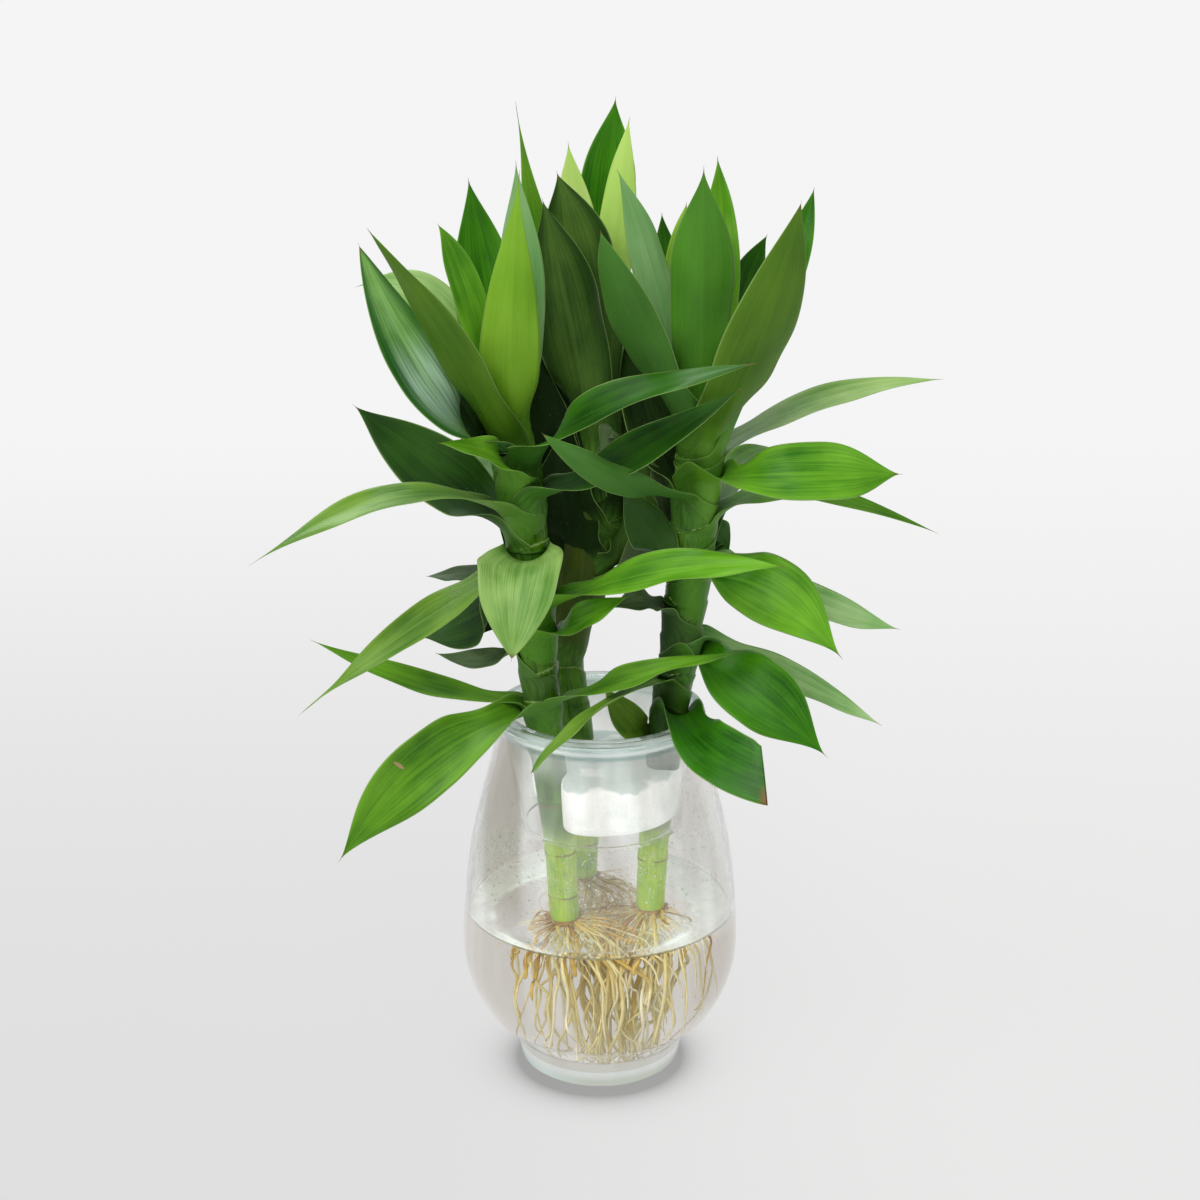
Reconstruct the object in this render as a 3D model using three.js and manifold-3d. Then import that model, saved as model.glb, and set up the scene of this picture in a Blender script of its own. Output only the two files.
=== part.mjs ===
// Lucky bamboo, three leafy canes, growing in water in a pear-shaped glass vase.
// Millimetres, +Z up. The origin is the centre of the vase's foot, on the surface it stands on.
// A clear planting cup hangs in the vase's neck and holds a foam plug. The canes pass through the plug,
// end just under the water, and send their roots down into it.

import * as THREE from "three";
import { mergeVertices } from "three/addons/utils/BufferGeometryUtils.js";
import Module from "manifold-3d";

const wasm = await Module();
wasm.setup();

// Driving dimensions
const GAP = 0.3; // air between pieces that touch
const ROUND = 32; // sides of every turned piece
const VASE_HEIGHT = 150;
const VASE_WALL = 2.4;
const VASE_FLOOR = 5; // thick glass foot under the water
const FLOOR_RADIUS = 27; // the floor inside is almost flat out to here, and rises by FLOOR_RISE
const FLOOR_RISE = 0.8;
const WATER_LEVEL = 69;
const WATER_WALL = 4.5; // water left beside the plain well that the roots hang in
const WATER_BED = 3; // water left under it
const CUP_WALL = 1.2;
const CUP_LIP = 41; // radius of the cup's lip, which lies on the vase's rim
const CUP_TOP_RADIUS = 36.4;
const CUP_FOOT_RADIUS = 32.6;
const CUP_NECK = 138; // the cup's wall is straight above this height and tapers below it
const CUP_FOOT = 103.5;
const CUP_MOUTH = 29.5; // radius of the hole in the cup's floor
const PLUG_BOTTOM = 109;
const PLUG_TOP = 130;
const PLUG_RADIUS = 31.3;
const PLUG_BEVEL = 1;
const PLUG_HOLE_PLAY = 0.5;
const BLADE_THICK = 0.8;
const MOST_CLASP = 1.2; // half angle of the arc by which a leaf's foot clasps its stem, in radians
const HEART_SINK = 0.35; // where in the stem's radius a young leaf's foot lies
const SHEATH_STEP = 0.7; // how far each leaf sheath stands out at its mouth
const SHEATH_MOUTH = 0.8; // height of the step at a sheath's mouth
const SHEATH_FIRST = 14; // length of the lowest sheath
const CANE_SIDES = 12;
const CROWN_DEPTH = 7; // height of the knot of roots under each cane
const CROWN_SIDES = 8;
const ROOT_SIDES = 5;
const ROOT_RADIUS = 1.35;
const ROOT_TIP_RADIUS = 0.7;
const ROOT_SPREAD = 30; // distance from the vase's axis that a root spreads to before it hangs
const ROOT_HEIGHTS = [52, 38, 17]; // heights of a root's shoulder, flank and tip

// The vase's outer wall, as radius and height: narrow foot, full belly, narrow neck and flared lip
const VASE_FOOT = [[29.9, 0], [32.4, 3], [33, 9]];
const VASE_BOWL = [
  [33.6, 12], [40.4, 19], [46.5, 25], [53.4, 40], [55.2, 58],
  [52, 92], [45.9, 120], [40.4, 141], [40.6, 147], [41.5, 149.4],
];
const VASE_RIM = [[40.9, VASE_HEIGHT], [39.4, VASE_HEIGHT], [38.4, VASE_HEIGHT - 1.4]];
const BOWL_STEPS = 13;

// Each stem's line from its cut end to its top, as x, y, z and radius; its sheath mouths; its leaf tint
const STEMS = {
  left: {
    line: [
      [-14, -14, 66, 5.7], [-16, -16, 103, 6.0], [-21.5, -14, 148, 6.8], [-24, -14, 180, 7.3],
      [-27, -14, 222, 7.8], [-30, -14, 245, 8.6], [-32, -14, 257, 8.4], [-33, -14, 276, 4.6],
    ],
    mouths: [158, 172, 190, 206, 222, 238],
    colour: 0x5a8f2a,
  },
  right: {
    line: [
      [20, -4, 66, 5.7], [21.5, -7, 103, 6.0], [26.5, -6, 148, 6.9], [31.5, -5, 181, 7.6],
      [34.5, -5, 214, 8.2], [37, -5, 249, 8.8], [38, -5, 264, 8.4], [37, -5, 284, 4.6],
    ],
    mouths: [154, 168, 184, 198, 212, 228, 242],
    colour: 0x568a28,
  },
  back: {
    line: [
      [-7, 26, 66, 5.7], [-6.5, 21, 103, 6.0], [-10, 20, 140, 6.6], [-14, 20, 164, 7.0],
      [-8, 20, 189, 7.4], [-1, 20, 214, 8.6], [0, 20, 250, 8.8], [0, 20, 268, 8.2], [1, 20, 288, 4.6],
    ],
    mouths: [160, 182, 204, 226, 246],
    colour: 0x4c7d26,
  },
};

// A leaf: the height of its foot on the stem, the middle and tip of its rib, the blade's full width and the
// way its flat is turned. In shape, twist is degrees of turn added towards the tip, cup the half angle of
// the blade's trough, wave the height of its edge's ripple, broad where along it the blade is widest, base
// its foot's share of that width, point how far its tip is drawn out, and torn the share a torn leaf keeps.
const PLAIN_SHAPE = { twist: 0, cup: 16, wave: 0.4, broad: 0.42, base: 0.55, point: 1.3, torn: 1 };
const leaf = (foot, mid, tip, wide, face, shape) =>
  ({ foot, mid, tip, wide, face, ...PLAIN_SHAPE, ...shape });

const LEAVES = {
  left: {
    left_shiny: leaf(256, [-66, -30, 292], [-86, -24, 336], 20, [0.45, -0.85, 0.3], { base: 0.9 }),
    left_olive: leaf(262, [-56, -42, 308], [-81, -52, 349], 17, [0.4, 0.8, 0.45], { broad: 0.3, base: 0.95 }),
    left_rear: leaf(260, [-61, 8, 310], [-93, 20, 315], 17, [0.1, -0.75, 0.65], { base: 0.7 }),
    left_dark: leaf(266, [-44, 6, 312], [-49, 12, 354], 22, [0.1, -1, 0.2], { base: 0.7 }),
    left_front: leaf(270, [-32, -34, 313], [-28, -40, 365], 21, [0, 0.95, 0.3], { base: 0.8 }),
    left_wavy: leaf(245, [-38, -36, 262], [-58, -48, 271], 13, [0, -0.1, 1], { wave: 1.4 }),
    left_long: leaf(236, [-74, -43, 249], [-124, -68, 231], 13, [0, -0.4, 0.9]),
    left_broad: leaf(228, [-61, 0, 249], [-90, 6, 269], 22, [0.3, -0.8, 0.5]),
    left_shield: leaf(218, [-29, -53, 220], [-32, -66, 194], 31, [-0.15, -1, 0.25], {
      cup: 32, broad: 0.3, point: 1,
    }),
    left_scrap: leaf(210, [-52, 6, 204], [-67, 10, 202], 8, [0, -0.5, 0.8]),
    left_arrow: leaf(213, [-72, -32, 194], [-113, -46, 165], 13, [0.2, -0.8, 0.6], { twist: 60 }),
    left_shade: leaf(204, [-54, 6, 188], [-70, 8, 177], 22, [0, -0.8, 0.6]),
    left_grey: leaf(180, [-46, -8, 175], [-64, -6, 176], 8, [0, -0.7, 0.7]),
    left_thin: leaf(162, [-69, -14, 169], [-111, -16, 185], 9, [0, -0.7, 0.7]),
    left_low: leaf(156, [-64, -46, 146], [-96, -60, 113], 23, [0.3, -0.85, 0.4], { wave: 0.8, base: 0.4 }),
    left_bright: leaf(188, [-5, -28, 198], [11, -32, 207], 9, [0, -0.6, 0.8]),
    reach_high: leaf(254, [1, -45, 286], [56, -56, 302], 19, [0, -0.35, 1], { wave: 0.8, base: 0.7 }),
    reach_low: leaf(242, [13, -34, 263], [52, -40, 290], 16, [0, -0.5, 1]),
    reach_bright: leaf(199, [24, -42, 221], [68, -48, 224], 14, [0, -0.7, 0.8], { wave: 1 }),
    reach_grey: leaf(160, [15, -38, 179], [52, -36, 187], 9, [0, -0.6, 0.8]),
    rear_left: leaf(218, [-46, 30, 240], [-70, 62, 228], 17, [0, 0, 1]),
  },
  right: {
    right_blue: leaf(275, [19, -11, 326], [6, -15, 364], 12, [0.2, -1, 0.1]),
    right_slant: leaf(266, [11, -32, 313], [0, -38, 346], 18, [0.3, 0.8, 0.4]),
    right_tall: leaf(272, [37, -20, 323], [37, -22, 364], 24, [0, -1, 0.1]),
    right_corner: leaf(268, [53, 14, 309], [62, 16, 332], 14, [0, -1, 0]),
    right_olive: leaf(263, [59, -40, 311], [70, -48, 358], 27, [-0.3, 0.9, 0.3], { base: 0.7, broad: 0.36 }),
    right_spear: leaf(257, [68, -5, 318], [78, -6, 356], 15, [-0.4, -0.9, 0.1]),
    right_cross: leaf(240, [4, -47, 258], [-21, -53, 276], 10, [0, -1, 0.4]),
    right_pale: leaf(251, [86, 18, 271], [131, 26, 277], 11, [0, -0.6, 0.8]),
    right_bright: leaf(247, [69, -34, 257], [113, -18, 251], 23, [-0.1, -0.8, 0.6], {
      broad: 0.55, base: 0.3,
    }),
    right_twist: leaf(230, [74, 0, 233], [125, 8, 221], 11, [0, -0.5, 0.8]),
    right_arch: leaf(208, [64, -26, 209], [89, -36, 188], 22, [-0.2, -0.7, 0.6]),
    right_arch_rear: leaf(214, [82, 6, 195], [115, 10, 181], 13, [-0.1, -0.7, 0.6]),
    right_fold: leaf(176, [59, -30, 170], [84, -40, 149], 25, [-0.2, -0.8, 0.5], { wave: 1 }),
    right_fold_rear: leaf(182, [77, 2, 162], [109, 6, 143], 10, [-0.1, -0.7, 0.6]),
    right_torn: leaf(156, [43, -44, 152], [60, -60, 147], 24, [-0.3, -0.8, 0.5], { torn: 0.6 }),
    right_under: leaf(168, [-3, -46, 166], [-26, -62, 148], 8, [0.2, 0.5, 0.8]),
    right_mouth: leaf(147, [11, -4, 146], [2, -8, 160], 13, [0.3, -0.9, 0.2]),
    right_inner: leaf(212, [18, -14, 229], [8, -16, 246], 14, [0.3, -0.9, 0.2]),
    right_stub: leaf(194, [14, -16, 199], [5, -20, 199], 9, [0, -0.5, 0.8]),
    rear_right: leaf(222, [60, 34, 244], [84, 66, 232], 17, [0, 0, 1]),
  },
  back: {
    back_whip: leaf(262, [-19, 23, 321], [-29, 25, 378], 13, [0.2, -1, 0], { broad: 0.3, point: 2 }),
    back_black: leaf(258, [-12, -6, 311], [-21, -12, 353], 24, [0.2, -1, 0], { wave: 0.8 }),
    back_dark: leaf(266, [-6, 6, 318], [-16, 0, 361], 25, [0.1, -1, 0.1], { wave: 0.8 }),
    back_top: leaf(276, [2, 33, 333], [6, 36, 380], 19, [0, -1, 0.1], { broad: 0.6 }),
    back_slim: leaf(240, [-22, 13, 286], [-27, 15, 311], 10, [0.2, -1, 0]),
    back_tuck: leaf(208, [-13, 6, 228], [-15, 4, 247], 18, [0.3, -1, 0]),
    back_blade: leaf(204, [16, 14, 224], [18, 16, 271], 15, [-0.2, -1, 0]),
    rear_middle: leaf(232, [12, 62, 254], [22, 96, 232], 19, [0, 0, 1]),
  },
};

// Young upright leaves that each stem still holds rolled in its top, grown into one piece with it
const HEARTS = {
  left: [
    leaf(262, [-48, -12, 316], [-59, -14, 344], 13, [0.3, -0.9, 0.2]),
    leaf(268, [-27, -20, 318], [-30, -22, 365], 17, [-0.1, -1, 0.1]),
  ],
  right: [
    leaf(272, [47, 2, 325], [45, 4, 364], 16, [-0.1, -1, 0.1]),
    leaf(268, [31, 2, 317], [32, 4, 349], 16, [0, -1, 0]),
    leaf(272, [27, 10, 315], [23, 12, 344], 12, [0, -1, 0]),
  ],
  back: [
    leaf(280, [6, 18, 336], [11, 20, 378], 15, [-0.2, -1, 0]),
    leaf(276, [-6, 26, 327], [-12, 27, 366], 13, [0, -1, 0]),
  ],
};

// Roots fan out from each cane inside their own slice of the water: count and the slice's two bearings
const ROOTS = {
  left: { count: 8, from: 172, to: 282 },
  right: { count: 8, from: -66, to: 40 },
  back: { count: 6, from: 62, to: 152 },
};

const rad = THREE.MathUtils.degToRad;
const vec = (p) => new THREE.Vector3(...p);
const mix = (a, b, t) => a + (b - a) * t;

function smooth(from, to, value) {
  const t = Math.min(1, Math.max(0, (value - from) / (to - from)));
  return t * t * (3 - 2 * t);
}

// A closed mesh from a list of vertices and triangles, turned outwards
function closed(vertices, faces) {
  let volume = 0;
  for (const [a, b, c] of faces) volume += vertices[a].dot(vertices[b].clone().cross(vertices[c]));
  const order = volume < 0 ? faces.map(([a, b, c]) => [a, c, b]) : faces;
  const geometry = new THREE.BufferGeometry();
  const numbers = vertices.flatMap((v) => v.toArray());
  geometry.setAttribute("position", new THREE.Float32BufferAttribute(numbers, 3));
  geometry.setIndex(order.flat());
  return geometry;
}

// A body skinned over rings of points that each have the same count, with flat ends
function skinned(rings) {
  const sides = rings[0].length;
  const vertices = rings.flat();
  const faces = [];
  for (let i = 0; i < rings.length - 1; i++) {
    for (let j = 0; j < sides; j++) {
      const a = i * sides + j;
      const b = i * sides + (j + 1) % sides;
      faces.push([a, b, b + sides], [a, b + sides, a + sides]);
    }
  }
  const last = (rings.length - 1) * sides;
  for (let j = 1; j < sides - 1; j++) faces.push([0, j + 1, j], [last, last + j, last + j + 1]);
  return closed(vertices, faces);
}

// A body turned about Z from a profile of radius and height that closes on the axis or on itself
function turned(profile, sides = ROUND) {
  const points = profile.map(([r, z]) => new THREE.Vector2(r, z));
  const geometry = new THREE.LatheGeometry(points, sides);
  geometry.rotateX(Math.PI / 2);
  geometry.deleteAttribute("normal");
  geometry.deleteAttribute("uv");
  return mergeVertices(geometry, 1e-3);
}

function solid(geometry) {
  const merged = mergeVertices(geometry, 1e-4);
  const vertProperties = new Float32Array(merged.attributes.position.array);
  const triVerts = new Uint32Array(merged.index.array);
  return new wasm.Manifold(new wasm.Mesh({ numProp: 3, vertProperties, triVerts }));
}

function fromSolid(body) {
  const mesh = body.getMesh();
  const geometry = new THREE.BufferGeometry();
  geometry.setAttribute("position", new THREE.BufferAttribute(new Float32Array(mesh.vertProperties), 3));
  geometry.setIndex(new THREE.BufferAttribute(new Uint32Array(mesh.triVerts), 1));
  return geometry;
}

const joined = (geometries) => fromSolid(geometries.map(solid).reduce((a, b) => a.add(b)));

// The vase's outer wall from foot to lip, and the same wall moved inwards by a distance
const bowlCurve = new THREE.SplineCurve(VASE_BOWL.map(([r, z]) => new THREE.Vector2(r, z)));

function bowlOffset(distance) {
  const points = [];
  for (let i = 0; i <= BOWL_STEPS; i++) {
    const p = bowlCurve.getPointAt(i / BOWL_STEPS);
    const t = bowlCurve.getTangentAt(i / BOWL_STEPS);
    points.push([p.x - t.y * distance, p.y + t.x * distance]);
  }
  return points;
}

// The glass's inner wall, from just over the thick floor to just under the lip
const innerWall = bowlOffset(VASE_WALL).filter(([, z]) => z > VASE_FLOOR + 4 && z < VASE_RIM[2][1] - 1.6);

function innerRadius(z) {
  const i = innerWall.findIndex((p) => p[1] > z);
  const [a, b] = [innerWall[i - 1], innerWall[i]];
  return mix(a[0], b[0], (z - a[1]) / (b[1] - a[1]));
}

function vaseGeometry() {
  const outside = [[0, 0], ...VASE_FOOT, ...bowlOffset(0)];
  const floor = [[FLOOR_RADIUS, VASE_FLOOR + FLOOR_RISE], [0, VASE_FLOOR]];
  return turned([...outside, ...VASE_RIM, ...[...innerWall].reverse(), ...floor]);
}

// Water as the bowl's filling with a plain well for the roots
function waterGeometry() {
  const wet = [...innerWall.filter(([, z]) => z < WATER_LEVEL - 2), [innerRadius(WATER_LEVEL), WATER_LEVEL]];
  const outside = wet.map(([r, z]) => [r - 1.5 * GAP, z]);
  const well = wet.slice(1).map(([r, z]) => [r - WATER_WALL, z]).reverse();
  const bed = VASE_FLOOR + 1.5 * GAP;
  const under = [[0, bed], [FLOOR_RADIUS, bed + FLOOR_RISE]];
  const over = under.map(([r, z]) => [r, z + WATER_BED]).reverse();
  return turned([...under, ...outside, ...well, ...over]);
}

function cupGeometry() {
  const lip = VASE_HEIGHT + GAP;
  const floor = CUP_FOOT + CUP_WALL;
  const outside = [
    [CUP_MOUTH, CUP_FOOT], [CUP_FOOT_RADIUS, CUP_FOOT], [CUP_TOP_RADIUS, CUP_NECK], [CUP_TOP_RADIUS, lip],
  ];
  const rim = [[CUP_LIP, lip], [CUP_LIP, lip + CUP_WALL]];
  const inside = [
    [CUP_TOP_RADIUS - CUP_WALL, lip + CUP_WALL], [CUP_TOP_RADIUS - CUP_WALL, CUP_NECK],
    [CUP_FOOT_RADIUS - CUP_WALL, floor], [CUP_MOUTH, floor],
  ];
  return turned([...outside, ...rim, ...inside, outside[0]]);
}

// Centre, radius and lean of a stem at a height, between the points of its line
function stemAt(stem, z) {
  const line = STEMS[stem].line;
  const above = line.findIndex((p) => p[2] > z);
  const i = above < 0 ? line.length - 2 : Math.max(0, above - 1);
  const [a, b] = [line[i], line[i + 1]];
  const t = Math.min(1, Math.max(0, (z - a[2]) / (b[2] - a[2])));
  const centre = new THREE.Vector3(mix(a[0], b[0], t), mix(a[1], b[1], t), z);
  return { centre, radius: mix(a[3], b[3], t) };
}

// A stem's radius with its sheaths: each grows slightly up to its mouth, where the next comes out of it
function sheathed(stem, z) {
  const mouths = STEMS[stem].mouths;
  const base = stemAt(stem, z).radius;
  if (z < mouths[0] - SHEATH_FIRST || z > mouths.at(-1)) return base;
  const upper = mouths.find((m) => m >= z);
  const lower = mouths[mouths.indexOf(upper) - 1] ?? upper - SHEATH_FIRST;
  return base - SHEATH_STEP / 2 + SHEATH_STEP * (z - lower) / (upper - lower);
}

function ring(centre, radius, sides) {
  const points = [];
  for (let j = 0; j < sides; j++) {
    const a = 2 * Math.PI * j / sides;
    const [x, y] = [centre.x + radius * Math.cos(a), centre.y + radius * Math.sin(a)];
    points.push(new THREE.Vector3(x, y, centre.z));
  }
  return points;
}

function stemGeometry(stem) {
  const { line, mouths } = STEMS[stem];
  const heights = new Set(line.map((p) => p[2]));
  for (const m of mouths) heights.add(m).add(m + SHEATH_MOUTH);
  const levels = [...heights].sort((a, b) => a - b);
  return skinned(levels.map((z) => ring(stemAt(stem, z).centre, sheathed(stem, z), CANE_SIDES)));
}

// A plain tube round a stem's line, wider by some play, to cut its hole in the plug
function stemHole(stem, play) {
  const heights = [PLUG_BOTTOM - 5, (PLUG_BOTTOM + PLUG_TOP) / 2, PLUG_TOP + 5];
  const rings = heights.map((z) => ring(stemAt(stem, z).centre, stemAt(stem, z).radius + play, CANE_SIDES));
  return skinned(rings);
}

function plugGeometry() {
  const flat = PLUG_RADIUS - PLUG_BEVEL;
  let body = solid(turned([
    [0, PLUG_BOTTOM], [flat, PLUG_BOTTOM], [PLUG_RADIUS, PLUG_BOTTOM + PLUG_BEVEL],
    [PLUG_RADIUS, PLUG_TOP - PLUG_BEVEL], [flat, PLUG_TOP], [0, PLUG_TOP],
  ]));
  for (const stem of Object.keys(STEMS)) body = body.subtract(solid(stemHole(stem, PLUG_HOLE_PLAY)));
  return fromSolid(body);
}

// Share of a blade's full width at a place along it: clasping foot, widest part, drawn-out tip
function outline(s, base, broad, point) {
  if (s < broad) return mix(base, 1, Math.sin(Math.PI / 2 * s / broad));
  return Math.cos(Math.PI / 2 * ((s - broad) / (1 - broad)) ** 1.25) ** point;
}

// A leaf blade. Its rib is a parabola from the stem through mid to tip. The blade's flat starts square to
// the stem and rolls over its first half until it is turned to face. Its section is an arc, which clasps
// the stem at the foot and opens out along the blade, and its edges ripple by wave.
function bladeGeometry(stem, blade, sunk = false) {
  const { wide, twist, cup, wave, broad, base, point, torn } = blade;
  const at = stemAt(stem, blade.foot);
  const mid = vec(blade.mid);
  const tip = vec(blade.tip);
  const pull = (from) => mid.clone().multiplyScalar(2).addScaledVector(from, -0.5).addScaledVector(tip, -0.5);
  const out = pull(at.centre).sub(at.centre).setZ(0).normalize();
  const reach = sunk ? at.radius * HEART_SINK : sheathed(stem, blade.foot) + GAP + 0.1 + BLADE_THICK / 2;
  const foot = at.centre.clone().addScaledVector(out, reach);
  const rib = new THREE.QuadraticBezierCurve3(foot, pull(foot), tip);
  const long = rib.getLength();
  const spans = long > 75 ? 7 : long > 40 ? 6 : 4;
  const strips = wide > 13 ? 4 : 2;

  const normals = [];
  let normal = out.clone().negate().add(new THREE.Vector3(0, 0, 0.3));
  for (let i = 0; i <= spans; i++) {
    const t = rib.getTangent(i / spans);
    normal = normal.clone().addScaledVector(t, -normal.dot(t)).normalize();
    normals.push(normal);
  }
  const half = rib.getTangent(0.5);
  const natural = normals[Math.round(spans / 2)];
  const flat = vec(blade.face);
  flat.addScaledVector(half, -flat.dot(half)).normalize();
  if (flat.dot(natural) < 0) flat.negate();
  const roll = Math.atan2(natural.clone().cross(flat).dot(half), natural.dot(flat));

  const clasp = Math.min(wide / 2 * base / reach, MOST_CLASP);
  const upper = [];
  const lower = [];
  for (let i = 0; i <= spans; i++) {
    const s = i / spans;
    const p = rib.getPoint(s);
    const t = rib.getTangent(s);
    const turn = roll * smooth(0, 0.5, s) + rad(twist) * smooth(0.5, 1, s);
    const up = normals[i].clone().applyAxisAngle(t, turn);
    const side = t.clone().cross(up);
    const width = Math.max(0.6, wide / 2 * outline(s * torn, base, broad, point));
    const bend = mix(clasp, rad(cup), smooth(0, 0.3, s)) * mix(1, 0.35, smooth(0.5, 1, s));
    for (let j = 0; j <= strips; j++) {
      const q = 2 * j / strips - 1;
      const angle = q * bend;
      const radius = width / bend;
      const ripple = wave * q * q * Math.sin(2 * Math.PI * 1.5 * s + 2.2 * q) * Math.sin(Math.PI * s);
      const across = up.clone().multiplyScalar(Math.cos(angle)).addScaledVector(side, -Math.sin(angle));
      const spot = p.clone().addScaledVector(side, radius * Math.sin(angle))
        .addScaledVector(up, radius * (1 - Math.cos(angle))).addScaledVector(across, ripple);
      upper.push(spot.clone().addScaledVector(across, BLADE_THICK / 2));
      lower.push(spot.clone().addScaledVector(across, -BLADE_THICK / 2));
    }
  }
  return sheet(upper, lower, spans, strips);
}

// A closed sheet from the two faces of a grid, split alike, with its rim
function sheet(upper, lower, spans, strips) {
  const row = strips + 1;
  const count = upper.length;
  const faces = [];
  for (let i = 0; i < spans; i++) {
    for (let j = 0; j < strips; j++) {
      const [a, b, c, d] = [i * row + j, i * row + j + 1, (i + 1) * row + j + 1, (i + 1) * row + j];
      faces.push([a, b, c], [a, c, d], [count + a, count + c, count + b], [count + a, count + d, count + c]);
    }
  }
  const border = [];
  for (let j = 0; j < strips; j++) border.push([j + 1, j]);
  for (let i = 0; i < spans; i++) border.push([i * row, (i + 1) * row]);
  for (let j = 0; j < strips; j++) border.push([spans * row + j, spans * row + j + 1]);
  for (let i = spans; i > 0; i--) border.push([i * row + strips, (i - 1) * row + strips]);
  for (const [a, b] of border) faces.push([a, b, count + b], [a, count + b, count + a]);
  return closed([...upper, ...lower], faces);
}

// A knot of roots under a cane: a rounded crown with tapering roots that spread, then hang
function rootsGeometry(stem) {
  const { count, from, to } = ROOTS[stem];
  const [shoulder, flank, end] = ROOT_HEIGHTS;
  const [x, y, cut] = STEMS[stem].line[0];
  const top = cut - GAP;
  const bulge = [[top, 4.6], [top - 2, 6], [top - CROWN_DEPTH + 2, 5.2], [top - CROWN_DEPTH, 3]];
  const parts = [skinned(bulge.map(([z, r]) => ring(new THREE.Vector3(x, y, z), r, CROWN_SIDES)))];
  for (let k = 0; k < count; k++) {
    const bearing = rad(mix(from, to, (k + 0.5) / count));
    const outward = new THREE.Vector3(Math.cos(bearing), Math.sin(bearing), 0);
    const spread = ROOT_SPREAD + 5 * Math.sin(2.1 * k);
    const hang = ROOT_SPREAD - 6 + 6 * Math.cos(1.7 * k);
    const at = (distance, z) => outward.clone().multiplyScalar(distance).setZ(z);
    const route = new THREE.CatmullRomCurve3([
      new THREE.Vector3(x, y, top - CROWN_DEPTH / 2 - (k % 3)).addScaledVector(outward, 1.5),
      new THREE.Vector3(x, y, top - CROWN_DEPTH - 1).lerp(at(spread, shoulder), 0.7),
      at(spread + 3, flank),
      at(hang, end + 1.5 * (k % 3)),
    ]);
    parts.push(tube(route, 7, (s) => mix(ROOT_RADIUS, ROOT_TIP_RADIUS, s), ROOT_SIDES));
  }
  return joined(parts);
}

// A round tube along a curve, its radius given by place along it
function tube(route, spans, radiusAt, sides) {
  const frames = route.computeFrenetFrames(spans, false);
  const rings = [];
  for (let i = 0; i <= spans; i++) {
    const centre = route.getPointAt(i / spans);
    const r = radiusAt(i / spans);
    const points = [];
    for (let j = 0; j < sides; j++) {
      const a = 2 * Math.PI * j / sides;
      const p = centre.clone().addScaledVector(frames.normals[i], r * Math.cos(a));
      points.push(p.addScaledVector(frames.binormals[i], r * Math.sin(a)));
    }
    rings.push(points);
  }
  return skinned(rings);
}

const LEAF_COLOUR = 0x3f8a22;
const plant = new THREE.Group();

function add(name, geometry, colour, roughness = 0.45, more = {}) {
  const material = new THREE.MeshStandardMaterial({ color: colour, roughness, metalness: 0, ...more });
  const mesh = new THREE.Mesh(geometry, material);
  mesh.name = name;
  plant.add(mesh);
}

add("vase", vaseGeometry(), 0xdfeeea, 0.05, { transparent: true, opacity: 0.35 });
add("water", waterGeometry(), 0xcfe3e0, 0.02, { transparent: true, opacity: 0.3 });
add("planting_cup", cupGeometry(), 0xe8efee, 0.15, { transparent: true, opacity: 0.4 });
add("foam_plug", plugGeometry(), 0xf2f2ee, 0.95);
for (const stem of Object.keys(STEMS)) {
  const hearts = HEARTS[stem].map((blade) => bladeGeometry(stem, blade, true));
  add(`stem_${stem}`, joined([stemGeometry(stem), ...hearts]), STEMS[stem].colour);
  add(`roots_${stem}`, rootsGeometry(stem), 0xd9c98a, 0.7);
  for (const [name, blade] of Object.entries(LEAVES[stem])) {
    add(`leaf_${name}`, bladeGeometry(stem, blade), LEAF_COLOUR);
  }
}

export default plant;
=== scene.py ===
"""Lucky bamboo growing in water in a pear-shaped glass vase: the looks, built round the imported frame.

Lengths are in millimetres until a mesh is made, which is in metres. +Z is up and the camera looks along +Y.
Every surface is a grid of points worked out with numpy, and every finish is made of shader nodes.
"""

import math

import bmesh
import bpy
import numpy as np
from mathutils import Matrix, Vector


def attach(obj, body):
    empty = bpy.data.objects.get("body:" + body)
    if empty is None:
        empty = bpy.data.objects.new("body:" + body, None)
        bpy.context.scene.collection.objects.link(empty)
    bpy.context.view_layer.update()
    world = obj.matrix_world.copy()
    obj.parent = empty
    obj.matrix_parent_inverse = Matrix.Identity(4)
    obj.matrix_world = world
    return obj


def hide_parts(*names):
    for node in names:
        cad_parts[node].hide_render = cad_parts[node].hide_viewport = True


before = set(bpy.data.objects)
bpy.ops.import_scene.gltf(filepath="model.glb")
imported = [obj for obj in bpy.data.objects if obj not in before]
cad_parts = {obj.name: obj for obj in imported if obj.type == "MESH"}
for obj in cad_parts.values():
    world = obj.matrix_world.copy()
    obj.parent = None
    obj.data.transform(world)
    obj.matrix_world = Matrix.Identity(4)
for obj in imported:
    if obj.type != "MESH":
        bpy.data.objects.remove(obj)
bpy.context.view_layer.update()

# The camera that took the photograph, solved from the vase's rim, foot and water line
CAMERA_PLACE = (0.0, -0.882, 0.489)
CAMERA_PITCH = 18.4
CAMERA_LENS = 72.0

camera = bpy.data.objects.new("camera", bpy.data.cameras.new("camera"))
camera.data.lens = CAMERA_LENS
camera.data.sensor_width = 36.0
camera.location = CAMERA_PLACE
camera.rotation_euler = (math.radians(90 - CAMERA_PITCH), 0, 0)
bpy.context.scene.collection.objects.link(camera)
bpy.context.scene.camera = camera

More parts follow.
